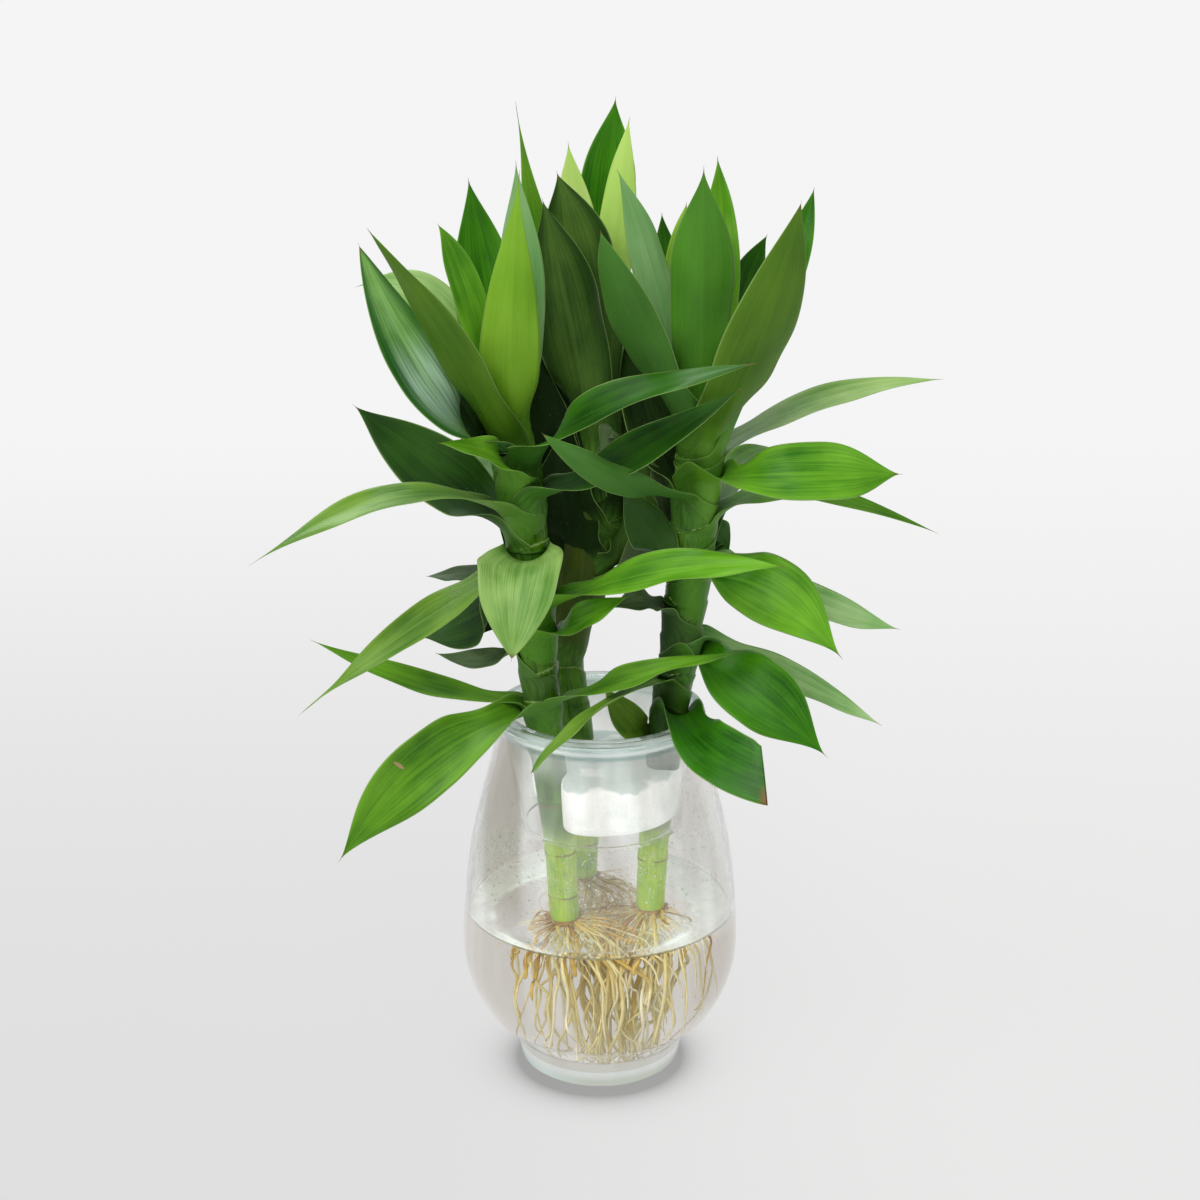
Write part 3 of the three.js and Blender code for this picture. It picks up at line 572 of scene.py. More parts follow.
class Paint:
    """A material and the nodes that make it."""

    def __init__(self, name):
        self.material = bpy.data.materials.new(name)
        self.material.use_nodes = True
        self.tree = self.material.node_tree
        self.tree.nodes.clear()

    def node(self, kind, settings, values):
        """Adds a node: its settings are set first, then each socket gets a constant or a link."""
        made = self.tree.nodes.new(kind)
        for name, value in settings.items():
            setattr(made, name, value)
        for key, value in values.items():
            if isinstance(value, Value):
                self.tree.links.new(value.socket, made.inputs[key])
            else:
                made.inputs[key].default_value = value
        return made

    def read(self, kind, settings=None, values=None, output=0):
        return Value(self, self.node(kind, settings or {}, values or {}).outputs[output])

    def place(self):
        """The piece's own coordinates, in metres. So are all heights and distances in the paints."""
        return self.read("ShaderNodeTexCoord", output="Object")

    def parts(self, vector):
        return [self.read("ShaderNodeSeparateXYZ", values={0: vector}, output=k) for k in range(3)]

    def surface_uv(self):
        return self.parts(self.read("ShaderNodeTexCoord", output="UV"))[:2]

    def tone(self):
        return self.read("ShaderNodeAttribute", {"attribute_name": "tone"}, output="Fac")

    def vector(self, x, y, z=0.0):
        return self.read("ShaderNodeCombineXYZ", values={0: x, 1: y, 2: z})

    def noise(self, vector, scale, detail=3.0, roughness=0.5):
        values = {"Vector": vector, "Scale": scale, "Detail": detail, "Roughness": roughness}
        return self.read("ShaderNodeTexNoise", values=values)

    def blend(self, a, b, factor):
        """Colour a turning to colour b as factor goes from 0 to 1."""
        return self.read("ShaderNodeMix", {"data_type": "RGBA"}, {0: factor, 6: a, 7: b}, output=2)

    def bump(self, height, strength, distance):
        """Relief from a height of 0 to 1, distance metres deep."""
        values = {"Height": height, "Strength": strength, "Distance": distance}
        return self.read("ShaderNodeBump", values=values)

    def shader(self, **sockets):
        """A Principled shader, its sockets named with underscores for spaces."""
        values = {name.replace("_", " "): value for name, value in sockets.items()}
        return self.read("ShaderNodeBsdfPrincipled", values=values)

    def mixed(self, first, second, factor):
        return self.read("ShaderNodeMixShader", values={0: factor, 1: first, 2: second})

    def finish(self, shader):
        self.node("ShaderNodeOutputMaterial", {}, {0: shader})
        return self.material


def leaf_look(dark, light, under, rough, glow):
    """The dark and the light of a leaf's top, its underside, its roughness and the light it lets by."""
    return {"dark": dark, "light": light, "under": under, "rough": rough, "glow": glow}


LOOKS = {
    "black": leaf_look((5, 28, 6), (152, 196, 84), (50, 88, 34), 0.46, 0.05),
    # Near black, as painted shade for leaves deep among the others
    "shade": leaf_look((5, 20, 3), (40, 68, 20), (30, 52, 16), 0.6, 0.02),
    # Dark, as painted shade for leaves in the others' shadow
    "dim": leaf_look((6, 34, 4), (50, 94, 22), (58, 98, 34), 0.5, 0.04),
    "deep": leaf_look((8, 52, 6), (60, 118, 22), (82, 134, 54), 0.42, 0.08),
    "torn": leaf_look((10, 64, 6), (66, 138, 24), (82, 134, 54), 0.38, 0.1),
    "rich": leaf_look((16, 78, 2), (80, 154, 16), (96, 158, 54), 0.4, 0.12),
    "mid": leaf_look((34, 92, 8), (118, 178, 44), (112, 164, 72), 0.4, 0.12),
    "bright": leaf_look((38, 112, 8), (134, 204, 52), (120, 178, 54), 0.36, 0.18),
    # Pale green, partly the leaf's own and partly a painted highlight
    "fresh_and_sheen": leaf_look((92, 150, 60), (190, 222, 140), (160, 200, 126), 0.38, 0.16),
    "lime": leaf_look((112, 172, 28), (186, 230, 84), (136, 192, 50), 0.45, 0.3),
    "young": leaf_look((190, 236, 104), (240, 255, 176), (190, 236, 110), 0.45, 0.4),
    "pale": leaf_look((76, 132, 42), (168, 206, 116), (140, 182, 100), 0.4, 0.14),
    "soft": leaf_look((56, 112, 20), (140, 184, 68), (132, 176, 90), 0.36, 0.14),
    "olive_shade": leaf_look((30, 58, 8), (116, 128, 38), (60, 84, 24), 0.5, 0.05),
    "olive": leaf_look((36, 80, 8), (120, 158, 44), (78, 124, 28), 0.45, 0.14),
    # Its light colour is pale blue-white, partly a painted highlight on a green leaf
    "blue": leaf_look((100, 172, 70), (200, 234, 164), (110, 166, 100), 0.36, 0.12),
    "grey": leaf_look((44, 70, 34), (104, 128, 84), (88, 112, 70), 0.55, 0.06),
    "glossy": leaf_look((14, 84, 18), (150, 206, 108), (100, 156, 88), 0.26, 0.1),
}
DULL_LOOKS = ("black", "shade")
DARK_EDGED_LOOKS = ("black", "glossy")
LEAF_EDGE = (150, 184, 104)
LEAF_FOOT = (94, 148, 50)
# Colour of the painted highlight on the glossy blade
LEAF_PAINTED_HIGHLIGHT = (196, 228, 210)
LEAF_DUST = (200, 214, 190)
DRY_TIP = (120, 92, 52)
DRY_SCAB = (184, 150, 118)
SCAB_PLACE = (-0.0752, 0.147)  # x and z of the scab on the low left leaf, in metres
# Colours of the painted shade and the painted light on the right cane's sheaths
SHADED_SHEATH = (14, 44, 4)
LIT_SHEATH = (128, 186, 62)
VEINS = 34


def sheath_light(paint, base, x, z, v):
    """Painted shade and painted light on the right cane's sheaths: darker low on their left and lighter high
    on their right.
    """
    dark = x.step(0.036, 0.026) * x.step(0.012, 0.016) * z.step(0.226, 0.205) * v.step(0.54, 0.48)
    base = paint.blend(base, colour(*SHADED_SHEATH), dark * 0.75)
    lit = x.step(0.035, 0.041) * z.step(0.222, 0.24) * v.step(0.55, 0.5)
    return paint.blend(base, colour(*LIT_SHEATH), lit * 0.6)


def scab(x, z):
    """1 inside a small slanted ellipse on the low left leaf, and 0 outside."""
    aside, above = x - SCAB_PLACE[0], z - SCAB_PLACE[1]
    run, over = aside * 0.75 - above * 0.66, aside * 0.66 + above * 0.75
    return ((run / 0.0024) ** 2 + (over / 0.0006) ** 2).step(1.3, 0.7)


def leaf_paint(look):
    """Waxy blade: long streaks and fine veins run from foot to tip, with a pale hard edge and a dry tip.

    v is 0 at the sheath's foot, 0.5 at the blade's and 1 at the tip. Relief fades out where the blade
    narrows.
    """
    kind = LOOKS[look]
    dark, light = colour(*kind["dark"]), colour(*kind["light"])
    paint = Paint("leaf_" + look)
    u, v = paint.surface_uv()
    x, _, z = paint.parts(paint.place())
    across = abs(u * 2 - 1)
    drift = paint.noise(paint.vector(u * 2.6, v * 5, 7.0), 1.0, 3.0)
    cloud = drift * 0.5 + paint.noise(paint.place(), 38.0, 2.0) * 0.5
    streak = paint.noise(paint.vector(u * 24, v * 3), 1.0, 4.0, 0.6)
    thread = paint.noise(paint.vector(u * 120, v * 5, 3.0), 1.0, 2.0)
    veins = (u * (2 * math.pi * VEINS)).sine() * 0.5 + 0.5
    pale = (cloud * 1.9 + streak * 0.75 + thread * 0.3 + veins * 0.1 - 1.02).step(0.0, 1.0)
    top = paint.blend(dark, light, pale)
    top = paint.blend(top, light, across.step(0.1, 0.0) * 0.4 + across.step(0.7, 1.0) * 0.25)
    if look in DARK_EDGED_LOOKS:
        top = paint.blend(top, dark, across.step(0.25, 0.95) * 0.85)
    if look == "glossy":
        # A painted highlight: a pale blue-white patch across the middle of the glossy blade
        painted_highlight = v.step(0.58, 0.68) * v.step(0.84, 0.72) * (streak * 1.2 + thread * 0.5 - 0.3).step(0.2, 0.8)
        top = paint.blend(top, colour(*LEAF_PAINTED_HIGHLIGHT), painted_highlight * across.step(0.9, 0.3) * 0.8)
    under = paint.blend(top, colour(*kind["under"]), 0.6)
    base = paint.blend(top, under, paint.tone().step(0.4, 0.6))
    foot = paint.blend(colour(*LEAF_FOOT), dark, streak.step(0.3, 0.7) * 0.7)
    base = paint.blend(base, foot, v.step(0.56, 0.47) * 0.7)
    # Painted shade and painted light on the right cane's sheaths
    base = sheath_light(paint, base, x, z, v)
    base = paint.blend(base, colour(*LEAF_EDGE), across.step(0.95, 0.99) * 0.7)
    dust = paint.noise(paint.place(), 900.0, 2.0).step(0.66, 0.78)
    base = paint.blend(base, colour(*LEAF_DUST), dust * 0.08)
    if look == "mid":
        base = paint.blend(base, colour(*DRY_SCAB), scab(x, z) * 0.9)
    dry = v.step(0.965, 0.99) * u.step(0.6, 0.9) if look == "torn" else v.step(0.975, 0.992) * 0.8
    base = paint.blend(base, colour(*DRY_TIP), dry)
    rough = streak * 0.2 + cloud * 0.16 + (kind["rough"] - 0.18)
    relief = (streak * 0.2 + veins * 0.12 + thread * 0.1 + cloud * 2.6) * v.step(0.88, 0.7)
    skin = paint.shader(
        Base_Color=base, Roughness=rough, Specular_IOR_Level=0.12 if look in DULL_LOOKS else 0.22,
        Normal=paint.bump(relief, 0.5, 0.001),
    )
    through = paint.read("ShaderNodeBsdfTranslucent", values={"Color": light})
    return paint.finish(paint.mixed(skin, through, kind["glow"]))


def cane_paint():
    """Smooth cane: yellow-green under the plug and dark green above, with fine fibres and brown scars.

    The right cane has painted shade low on its left side. The tone is 1 in a scar and below 0 on a pale
    ring.
    """
    paint = Paint("cane")
    u = paint.surface_uv()[0]
    x, _, height = paint.parts(paint.place())
    fibre = paint.noise(paint.vector(u * 60, height * 60), 1.0, 4.0, 0.6)
    mottle = paint.noise(paint.place(), 130.0, 3.0)
    wet = (fibre * 0.7 + mottle * 0.7).step(0.45, 0.95)
    low = paint.blend(colour(132, 186, 22), colour(192, 222, 66), wet)
    dry = (fibre * 0.9 + mottle * 0.7).step(0.45, 1.1)
    high = paint.blend(colour(22, 66, 4), colour(96, 146, 26), dry)
    # Painted shade low on the left side of the right cane
    shaded = x.step(0.037, 0.027) * x.step(0.012, 0.016) * height.step(0.226, 0.2)
    high = paint.blend(high, colour(*SHADED_SHEATH), shaded * 0.8)
    high = paint.blend(high, colour(104, 164, 46), height.step(0.228, 0.262) * 0.6)
    base = paint.blend(low, high, height.step(0.098, 0.112))
    mark = paint.tone()
    base = paint.blend(base, colour(122, 104, 40), mark.step(0.25, 0.9) * 0.85)
    base = paint.blend(base, colour(170, 196, 112), mark.step(-0.2, -0.8) * 0.6)
    relief = paint.bump(fibre * 0.6 + mottle * 0.4, 0.22, 0.0003)
    return paint.finish(paint.shader(
        Base_Color=base, Roughness=fibre * 0.25 + 0.24, Specular_IOR_Level=0.3, Normal=relief,
    ))


def root_paint():
    """Wet roots: brown and orange at the crown, straw along their length and white towards the tip."""
    paint = Paint("root")
    age = paint.tone()
    grain = paint.noise(paint.place(), 420.0, 3.0)
    ripe = age + grain * 0.3
    base = paint.blend(colour(146, 92, 26), colour(222, 188, 84), (age * 3.2 + grain * 0.5).step(0.2, 0.9))
    base = paint.blend(base, colour(240, 230, 170), ripe.step(0.3, 0.72))
    base = paint.blend(base, colour(252, 248, 224), ripe.step(0.8, 1.1))
    relief = paint.bump(grain, 0.3, 0.0002)
    return paint.finish(paint.shader(Base_Color=base, Roughness=0.35, Normal=relief))


MILK = (0.9, 0.98, 0.965, 1)
WET_WALL = (0.965, 0.957, 0.945, 1)
FILM = (0.985, 0.985, 0.98, 1)


def clear_paint(name, tint, index, roughness=0.0, coat=0.0, relief=None, haze=None, skip=None):
    """A clear body that refracts. Shadow rays pass straight through it, so what it holds is lit.

    haze is the share of white milk on its skin. Where skip is 1, all rays pass straight through. Glass and
    water that touch are so made one body that bends light once.
    """
    paint = Paint(name)
    sockets = {"Base_Color": tint(paint), "Roughness": roughness, "IOR": index}
    sockets.update(Transmission_Weight=1.0, Coat_Weight=coat)
    if relief:
        sockets["Normal"] = relief(paint)
    body = paint.shader(**sockets)
    if haze:
        milk = paint.read("ShaderNodeBsdfDiffuse", values={"Color": MILK})
        body = paint.mixed(body, milk, haze(paint))
    if skip:
        through = paint.read("ShaderNodeBsdfTransparent", values={"Color": WET_WALL})
        body = paint.mixed(body, through, skip(paint))
    film = paint.read("ShaderNodeBsdfTransparent", values={"Color": FILM})
    lamp = paint.read("ShaderNodeLightPath", output="Is Shadow Ray")
    return paint.finish(paint.mixed(body, film, lamp))


# Glass colours. The streak colour is a painted reflection, the band colour painted shade and the rim line
# colour a painted dark reflection line
GLASS = (0.95, 0.94, 0.93, 1)
GLASS_PAINTED_REFLECTION = (0.79, 0.768, 0.745, 1)
GLASS_PAINTED_SHADE = (0.58, 0.55, 0.49, 1)
GLASS_OUTLINE = (0.5, 0.58, 0.56, 1)
GLASS_PAINTED_RIM_LINE = (0.5, 0.6, 0.58, 1)
GLASS_FOOT_LEFT = (0.62, 0.86, 0.8, 1)
GLASS_FOOT_RIGHT = (0.44, 0.54, 0.4, 1)
GLASS_THICK = (0.8, 0.93, 0.89, 1)


def glass_edges(paint):
    """1 where the glass is thick, at the foot and the rim, and 0 on the wall."""
    height = paint.parts(paint.place())[2]
    return height.step(0.014, 0.004).largest(height.step(0.1455, 0.149))


def painted_reflection_streaks(paint, scale):
    """Soft upright streaks, painted reflections of windows and walls in the glass."""
    return paint.noise(paint.vector(*paint.parts(paint.place())[:2], 0.0), scale, 2.0).step(0.4, 0.6)


def glass_tint(paint):
    """Faint warm grey glass, streaked with painted reflections, and green where it is thick, at its foot and
    rim.

    It darkens towards its outline. Under the rim lies a painted dark reflection line, and on the front
    painted
    shade lies in two bands: one up the left side over the water and one low on the right.
    """
    x, y, z = paint.parts(paint.place())
    left = x.step(-0.028, -0.033) * x.step(-0.048, -0.044) * z.step(0.074, 0.09)
    right = x.step(0.028, 0.042) * z.step(0.07, 0.062) * z.step(0.02, 0.04)
    # Painted shade in two bands on the front
    painted_shade_bands = left.largest(right * 0.8) * y.step(0.0, -0.01)
    # Painted reflections in upright streaks
    wall = paint.blend(GLASS, GLASS_PAINTED_REFLECTION, painted_reflection_streaks(paint, 75.0))
    wall = paint.blend(wall, GLASS_PAINTED_SHADE, painted_shade_bands)
    facing = paint.read("ShaderNodeLayerWeight", values={"Blend": 0.5}, output="Facing")
    wall = paint.blend(wall, GLASS_OUTLINE, facing.step(0.84, 0.99) * 0.8)
    # A painted dark reflection line under the rim
    wall = paint.blend(wall, GLASS_PAINTED_RIM_LINE, z.step(0.1436, 0.1444) * z.step(0.146, 0.1452))
    foot = z.step(0.009, 0.003)
    green = paint.blend(GLASS_FOOT_RIGHT, GLASS_FOOT_LEFT, x.step(-0.004, -0.024))
    wall = paint.blend(wall, green, foot * 0.9)
    return paint.blend(wall, GLASS_THICK, glass_edges(paint) * (1 - foot))


def glass_skip(paint):
    """1 under the foot, where the inner skin lies in water, and for rays that leave water by the wall."""
    height = paint.parts(paint.place())[2]
    inner = paint.tone()
    leaving = paint.read("ShaderNodeNewGeometry", output="Backfacing")
    wet = height.step(WATER_LEVEL / 1000 + 0.0001, WATER_LEVEL / 1000)
    under = height.step(0.0014, 0.0011)
    return under.largest(wet * (inner + (1 - inner) * leaving * height.step(0.007, 0.012)))


def glass_haze(paint):
    """A milky rim with a painted highlight line, and inside the wall fine drops and a haze, thickest just
    under the cup,
    and painted reflections: upright streaks, and soft patches at the sides just above the water.
    """
    x, _, height = paint.parts(paint.place())
    drops = paint.read("ShaderNodeTexVoronoi", values={"Vector": paint.place(), "Scale": 1100.0})
    cloud = paint.noise(paint.place(), 55.0, 3.0)
    band = height.step(0.076, 0.1) * height.step(0.122, 0.106)
    mist = band * (cloud.step(0.2, 0.8) * (drops.step(0.6, 0.0) * 0.4 + 0.07) + 0.02)
    # Painted reflections: faint white upright streaks
    painted_streaks = painted_reflection_streaks(paint, 110.0) * height.step(0.06, 0.1) * 0.08
    # Painted reflections: soft white patches at the sides just above the water
    painted_shore_reflection = height.step(0.07, 0.073) * height.step(0.09, 0.078) * cloud.step(0.45, 0.7)
    painted_shore_reflection = painted_shore_reflection * abs(x).step(0.015, 0.035)
    # A milky rim, and on it a thin painted highlight line
    rim = height.step(0.145, 0.148) * 0.22 + height.step(0.146, 0.1466) * height.step(0.1482, 0.1476) * 0.5
    return rim + (mist + painted_streaks + painted_shore_reflection * 0.5) * paint.tone()


def painted_water_reflection(paint):
    """Painted reflections: pale bands at the left and right of the water's surface, where it would mirror
    the lit wall.
    """
    x, y, _ = paint.parts(paint.place())
    away = ((x + 0.0025) ** 2 + (y + 0.013) ** 2) ** 0.5
    cloud = paint.noise(paint.place(), 70.0, 3.0)
    edge = away + (cloud - 0.5) * 0.004
    # A brighter painted highlight line within the bands
    line = edge.step(0.0385, 0.0398) * edge.step(0.0425, 0.0405) * cloud.step(0.35, 0.6)
    band = edge.step(0.036, 0.0415) * (cloud.step(0.3, 0.7) * 0.38 + 0.32) + line * 0.4
    return band * abs(x).step(0.01, 0.028)


def cup_milk(paint):
    """Scuffed plastic: a little milk in the cup's wall, and a painted highlight at its lip's edge."""
    x, y, z = paint.parts(paint.place())
    # A painted highlight round the lip's outer edge
    edge = ((x ** 2 + y ** 2) ** 0.5).step(0.0388, 0.0406) * z.step(0.1495, 0.1502)
    wall = z.step(0.128, 0.142) * 0.2 * z.step(0.1505, 0.149)
    return wall + edge * 0.45 + paint.noise(paint.place(), 70.0) * 0.08


def cup_relief(paint):
    """The faint unevenness of moulded plastic: a fine noise as relief."""
    return paint.bump(paint.noise(paint.place(), 500.0, 2.0), 0.25, 0.0003)


def foam_paint():
    """White open foam with a soft grain of cells and a grey top. It glows a little, as painted light."""
    paint = Paint("foam")
    cells = paint.noise(paint.place(), 900.0, 4.0, 0.65)
    cloud = paint.noise(paint.place(), 90.0, 3.0)
    height = paint.parts(paint.place())[2] + (cloud - 0.5) * 0.01
    white = (cells * 0.7 + cloud * 0.6).step(0.35, 0.75)
    base = paint.blend(colour(236, 240, 240), colour(254, 255, 255), white)
    base = paint.blend(base, colour(196, 206, 204), height.step(0.1283, 0.1297))
    relief = paint.bump(cells * 0.7 + cloud * 0.5, 0.9, 0.0015)
    # The glow is painted light
    return paint.finish(paint.shader(
        Base_Color=base, Roughness=0.95, Emission_Color=base, Emission_Strength=0.4, Normal=relief,
    ))


def vase_piece():
    """The turned vase, its tone 1 on its inner skin. Returns the lines of its inner face and its floor."""
    bowl = spline(VASE_BOWL, 110)
    inner = offset(bowl, VASE_WALL)
    inner = inner[(inner[:, 1] > VASE_FLOOR + 4) & (inner[:, 1] < VASE_HEIGHT - 3)]
    floor = spline([inner[0], *VASE_HOLLOW, (0, VASE_FLOOR)], 40)
    outer = np.concatenate([VASE_PUNT, spline(VASE_FOOT, 16), bowl])
    profile = np.concatenate([outer, VASE_RIM, inner[::-1], floor[1:]])
    inside = np.arange(len(profile)) >= len(outer) + len(VASE_RIM) // 2
    glass = clear_paint("glass", glass_tint, 1.33, coat=0.5, haze=glass_haze, skip=glass_skip)
    piece("glass_vase", [turned(profile, inside[:, None])], glass, ["vase"])
    return inner, floor


WATER_SINK = 0.35  # how far the water reaches into the glass, so that no gap shows between them
SHORE_LINE = (0.3, 0.45)  # half the width and half the height of the line where the water ends


def water_pieces(inner, floor):
    """The turned water, which climbs the wall a little way, and a fine dark ring where it ends.

    The water's tone is 1 where it lies in the glass and 0 on its surface.
    """
    wet = inner[inner[:, 1] < WATER_LEVEL + 1.2] + (WATER_SINK, 0)
    radius, height = wet[-1]
    surface = [
        (radius - 0.9, height - 0.1), (radius - 1.7, WATER_LEVEL + 0.55), (radius - 3, WATER_LEVEL + 0.15),
        (radius - 5, WATER_LEVEL), (0, WATER_LEVEL),
    ]
    bed = np.concatenate([floor[::-1] - (0, WATER_SINK), wet[1:], surface])
    held = np.arange(len(bed)) < len(bed) - len(surface)
    water = clear_paint("water", lambda p: (0.97, 0.985, 0.975, 1), 1.333, haze=painted_water_reflection, skip=Paint.tone)
    piece("water_body", [turned(bed, held[:, None])], water, ["water"])

    a = np.linspace(0, 2 * math.pi, 97)[:-1]
    b = np.arange(8) * 2 * math.pi / 8
    radius -= WATER_SINK
    shore = np.stack([radius * np.cos(a), radius * np.sin(a), 0 * a + height - 0.3], -1)
    out = np.stack([np.cos(a), np.sin(a), 0 * a], -1)
    line = shore[:, None] + out[:, None] * (SHORE_LINE[0] * np.cos(b))[None, :, None]
    line = line + np.array([0, 0, SHORE_LINE[1]]) * np.sin(b)[None, :, None]
    dim = clear_paint("waterline", lambda p: (0.72, 0.8, 0.77, 1), 1.2)
    piece("waterline", [Patch(np.concatenate([line, line[:1]]))], dim)


def cup_piece():
    """The planting cup: it hangs by its lip on the vase's rim and has a hole in its floor."""
    lip = VASE_HEIGHT + 0.3
    shelf = CUP_FOOT + CUP_WALL
    profile = [
        (CUP_MOUTH, CUP_FOOT), (CUP_FOOT_RADIUS - 1, CUP_FOOT), (CUP_FOOT_RADIUS, CUP_FOOT + 0.8),
        (CUP_TOP_RADIUS, CUP_NECK), (CUP_TOP_RADIUS, lip - 0.6), (CUP_TOP_RADIUS + 0.6, lip),
        (CUP_LIP - 0.3, lip), (CUP_LIP, lip + 0.3), (CUP_LIP, lip + 0.9), (CUP_LIP - 0.3, lip + CUP_WALL),
        (CUP_TOP_RADIUS - 0.6, lip + CUP_WALL), (CUP_TOP_RADIUS - CUP_WALL, lip + 0.4),
        (CUP_TOP_RADIUS - CUP_WALL, CUP_NECK), (CUP_FOOT_RADIUS - CUP_WALL, shelf + 1),
        (CUP_FOOT_RADIUS - CUP_WALL - 1, shelf), (CUP_MOUTH, shelf), (CUP_MOUTH, CUP_FOOT),
    ]
    tint = (0.985, 0.995, 0.99, 1)
    plastic = clear_paint("clear_plastic", lambda p: tint, 1.06, 0.1, 0.5, cup_relief, cup_milk)
    piece("clear_cup", [turned(profile)], plastic, ["planting_cup"])


DROPS = 900
DROP_HEIGHTS = (73, 38)  # the lowest, and how much higher the highest can be
DROP_SIZES = (0.14, 0.46)


def drop_patches(inner, seed):
    """Drops that stand on the glass above the water: flattened balls, each on the wall's inner face."""
    draw = np.random.default_rng(seed)
    up, around = np.linspace(0, math.pi, 5)[:, None], np.arange(6) * math.pi / 3
    ball = np.stack([np.sin(up) * np.cos(around), np.sin(up) * np.sin(around), np.cos(up) + 0 * around], -1)
    patches = []
    for _ in range(DROPS):
        z = DROP_HEIGHTS[0] + DROP_HEIGHTS[1] * draw.uniform(0, 1) ** 0.6
        wall = np.interp(z, inner[:, 1], inner[:, 0]) - 0.05
        bearing = draw.uniform(0, 2 * math.pi)
        size = draw.uniform(*DROP_SIZES)
        out = np.array([math.cos(bearing), math.sin(bearing), 0])
        beside = np.array([-out[1], out[0], 0])
        place = out * wall + np.array([0, 0, z])
        points = place + size * (ball[..., :1] * out * 0.45 + ball[..., 1:2] * beside)
        patches.append(Patch(points + size * ball[..., 2:] * np.array([0, 0, 1.2])))
    return patches


NOTCH_BEARING = -160.0  # direction from the plug's middle to the notch for the left cane, in degrees
NOTCH_DEPTH = 0.46  # as a share of the plug's radius
NOTCH_HALF = 0.64  # half its width, in radians round the plug


def foam_piece():
    """The foam plug: a lumpy disc with a notch in its side for the left cane."""
    side = spline([
        (PLUG_RADIUS - 3, PLUG_BOTTOM), (PLUG_RADIUS - 0.6, PLUG_BOTTOM + 1.2), (PLUG_RADIUS, 115),
        (PLUG_RADIUS + 0.9, 124), (PLUG_RADIUS + 0.4, PLUG_TOP - 1.6), (PLUG_RADIUS - 3, PLUG_TOP),
    ], 30)
    flat = np.linspace(0, PLUG_RADIUS - 3, 26, endpoint=False)
    bottom = np.stack([flat, 0 * flat + PLUG_BOTTOM], -1)
    top = np.stack([flat[::-1], 0 * flat + PLUG_TOP], -1)
    plug = turned(np.concatenate([bottom, side, top]), sides=120)
    x, y, z = plug.points.T
    swell = np.sin(0.35 * x + 1.3 * np.sin(0.22 * y)) * np.cos(0.31 * y + 0.17 * z) * 0.35
    middle = (0, 0, (PLUG_BOTTOM + PLUG_TOP) / 2)
    plug.points = plug.points + swell[:, None] * (0.35 * unit(plug.points - middle))
    bearing = (np.arctan2(y, x) - math.radians(NOTCH_BEARING) + math.pi) % (2 * math.pi) - math.pi
    plug.points[:, :2] *= (1 - NOTCH_DEPTH * np.exp(-(bearing / NOTCH_HALF) ** 4))[:, None]
    piece("foam", [plug], foam_paint(), ["foam_plug"])


def vase_pieces():
    """The vase, the water in it, the planting cup in its neck, drops on its wall and the foam in the cup."""
    inner, floor = vase_piece()
    water_pieces(inner, floor)
    cup_piece()
    beads = clear_paint("drop", lambda p: (0.98, 0.99, 0.98, 1), 1.333)
    piece("drops", drop_patches(inner, 5), beads)
    foam_piece()


def cane_patch(stem):
    """A cane turned about its own line, swollen at each scar, with a slanted step at each sheath's mouth.

    A swelling is a wide bell of height less a narrow one. The tone is up in a scar, and down at a mouth and
    just over a scar.
    """
    line = np.array(STEMS[stem]["line"], float)
    z = np.arange(line[0, 2], line[-1, 2], 0.5)[:, None]
    a = np.arange(48) * 2 * math.pi / 48
    centre, bare = stem_at(stem, z[:, 0])
    wrapped = smooth(STEMS[stem]["mouths"][0] - 8, STEMS[stem]["mouths"][0], z)
    slant = z + wrapped * 3.2 * np.cos(a - 0.9 - 0.12 * z)
    radius = bare[:, None] + sheathed(stem, slant.ravel()).reshape(slant.shape)
    radius -= stem_at(stem, slant.ravel())[1].reshape(slant.shape)
    mark = np.zeros(slant.shape)
    for scar in STEMS[stem]["scars"]:
        radius += 0.35 * np.exp(-((z - scar) / 1.6) ** 2) - 0.3 * np.exp(-((z - scar) / 0.35) ** 2)
        mark += np.exp(-((z - scar) / 0.55) ** 2) * smooth(-1.8, -0.2, np.sin(2 * a + scar))
        mark -= 0.5 * np.exp(-((z - scar - 2.2) / 0.7) ** 2)
    for mouth in STEMS[stem]["mouths"]:
        mark -= np.exp(-((slant - mouth) / 0.3) ** 2)
    radius *= 1 + 0.012 * np.sin(3 * a + 1) + 0.01 * np.sin(5 * a)
    radius[[0, -1]] = 0
    ring = np.stack([np.cos(a), np.sin(a), 0 * a], -1)
    return Patch(centre[:, None] + radius[..., None] * ring, tone=mark)


# How each cane's roots spread: the drift of their tips from the cane and its scatter, as x, y, and how many
ROOT_SPREAD = {
    "left": ((11, -4), (17, 8), 46),
    "right": ((-8, -12), (18, 8), 36),
    "back": ((2, -9), (12, 8), 20),
}
FINE_ROOTS = 130  # fine roots round each crown, after the main ones
ROOT_FLOOR = 7.6  # lowest that a root hangs
ROOT_ROOM = ((7, 12, 20, 30, 60), (22, 27, 34, 42, 47))  # heights, and how far out a tip may lie at each
ROOT_MIDDLE = (-2, -9)  # x and y that the main roots' tips are drawn towards
CROWN = 6.6  # radius of the knob of roots under a cane

# Where thick old roots end
OLD_ROOTS = {
    "left": ((-28, -19, 55), (-26, -24, 47), (-29, -12, 50), (-23, -27, 40), (-24, -8, 58), (-9, -28, 52)),
    "right": ((8, -20, 56), (28, -16, 52), (12, -26, 50)),
    "back": ((-16, 14, 58), (4, 12, 60), (-2, 34, 54)),
}

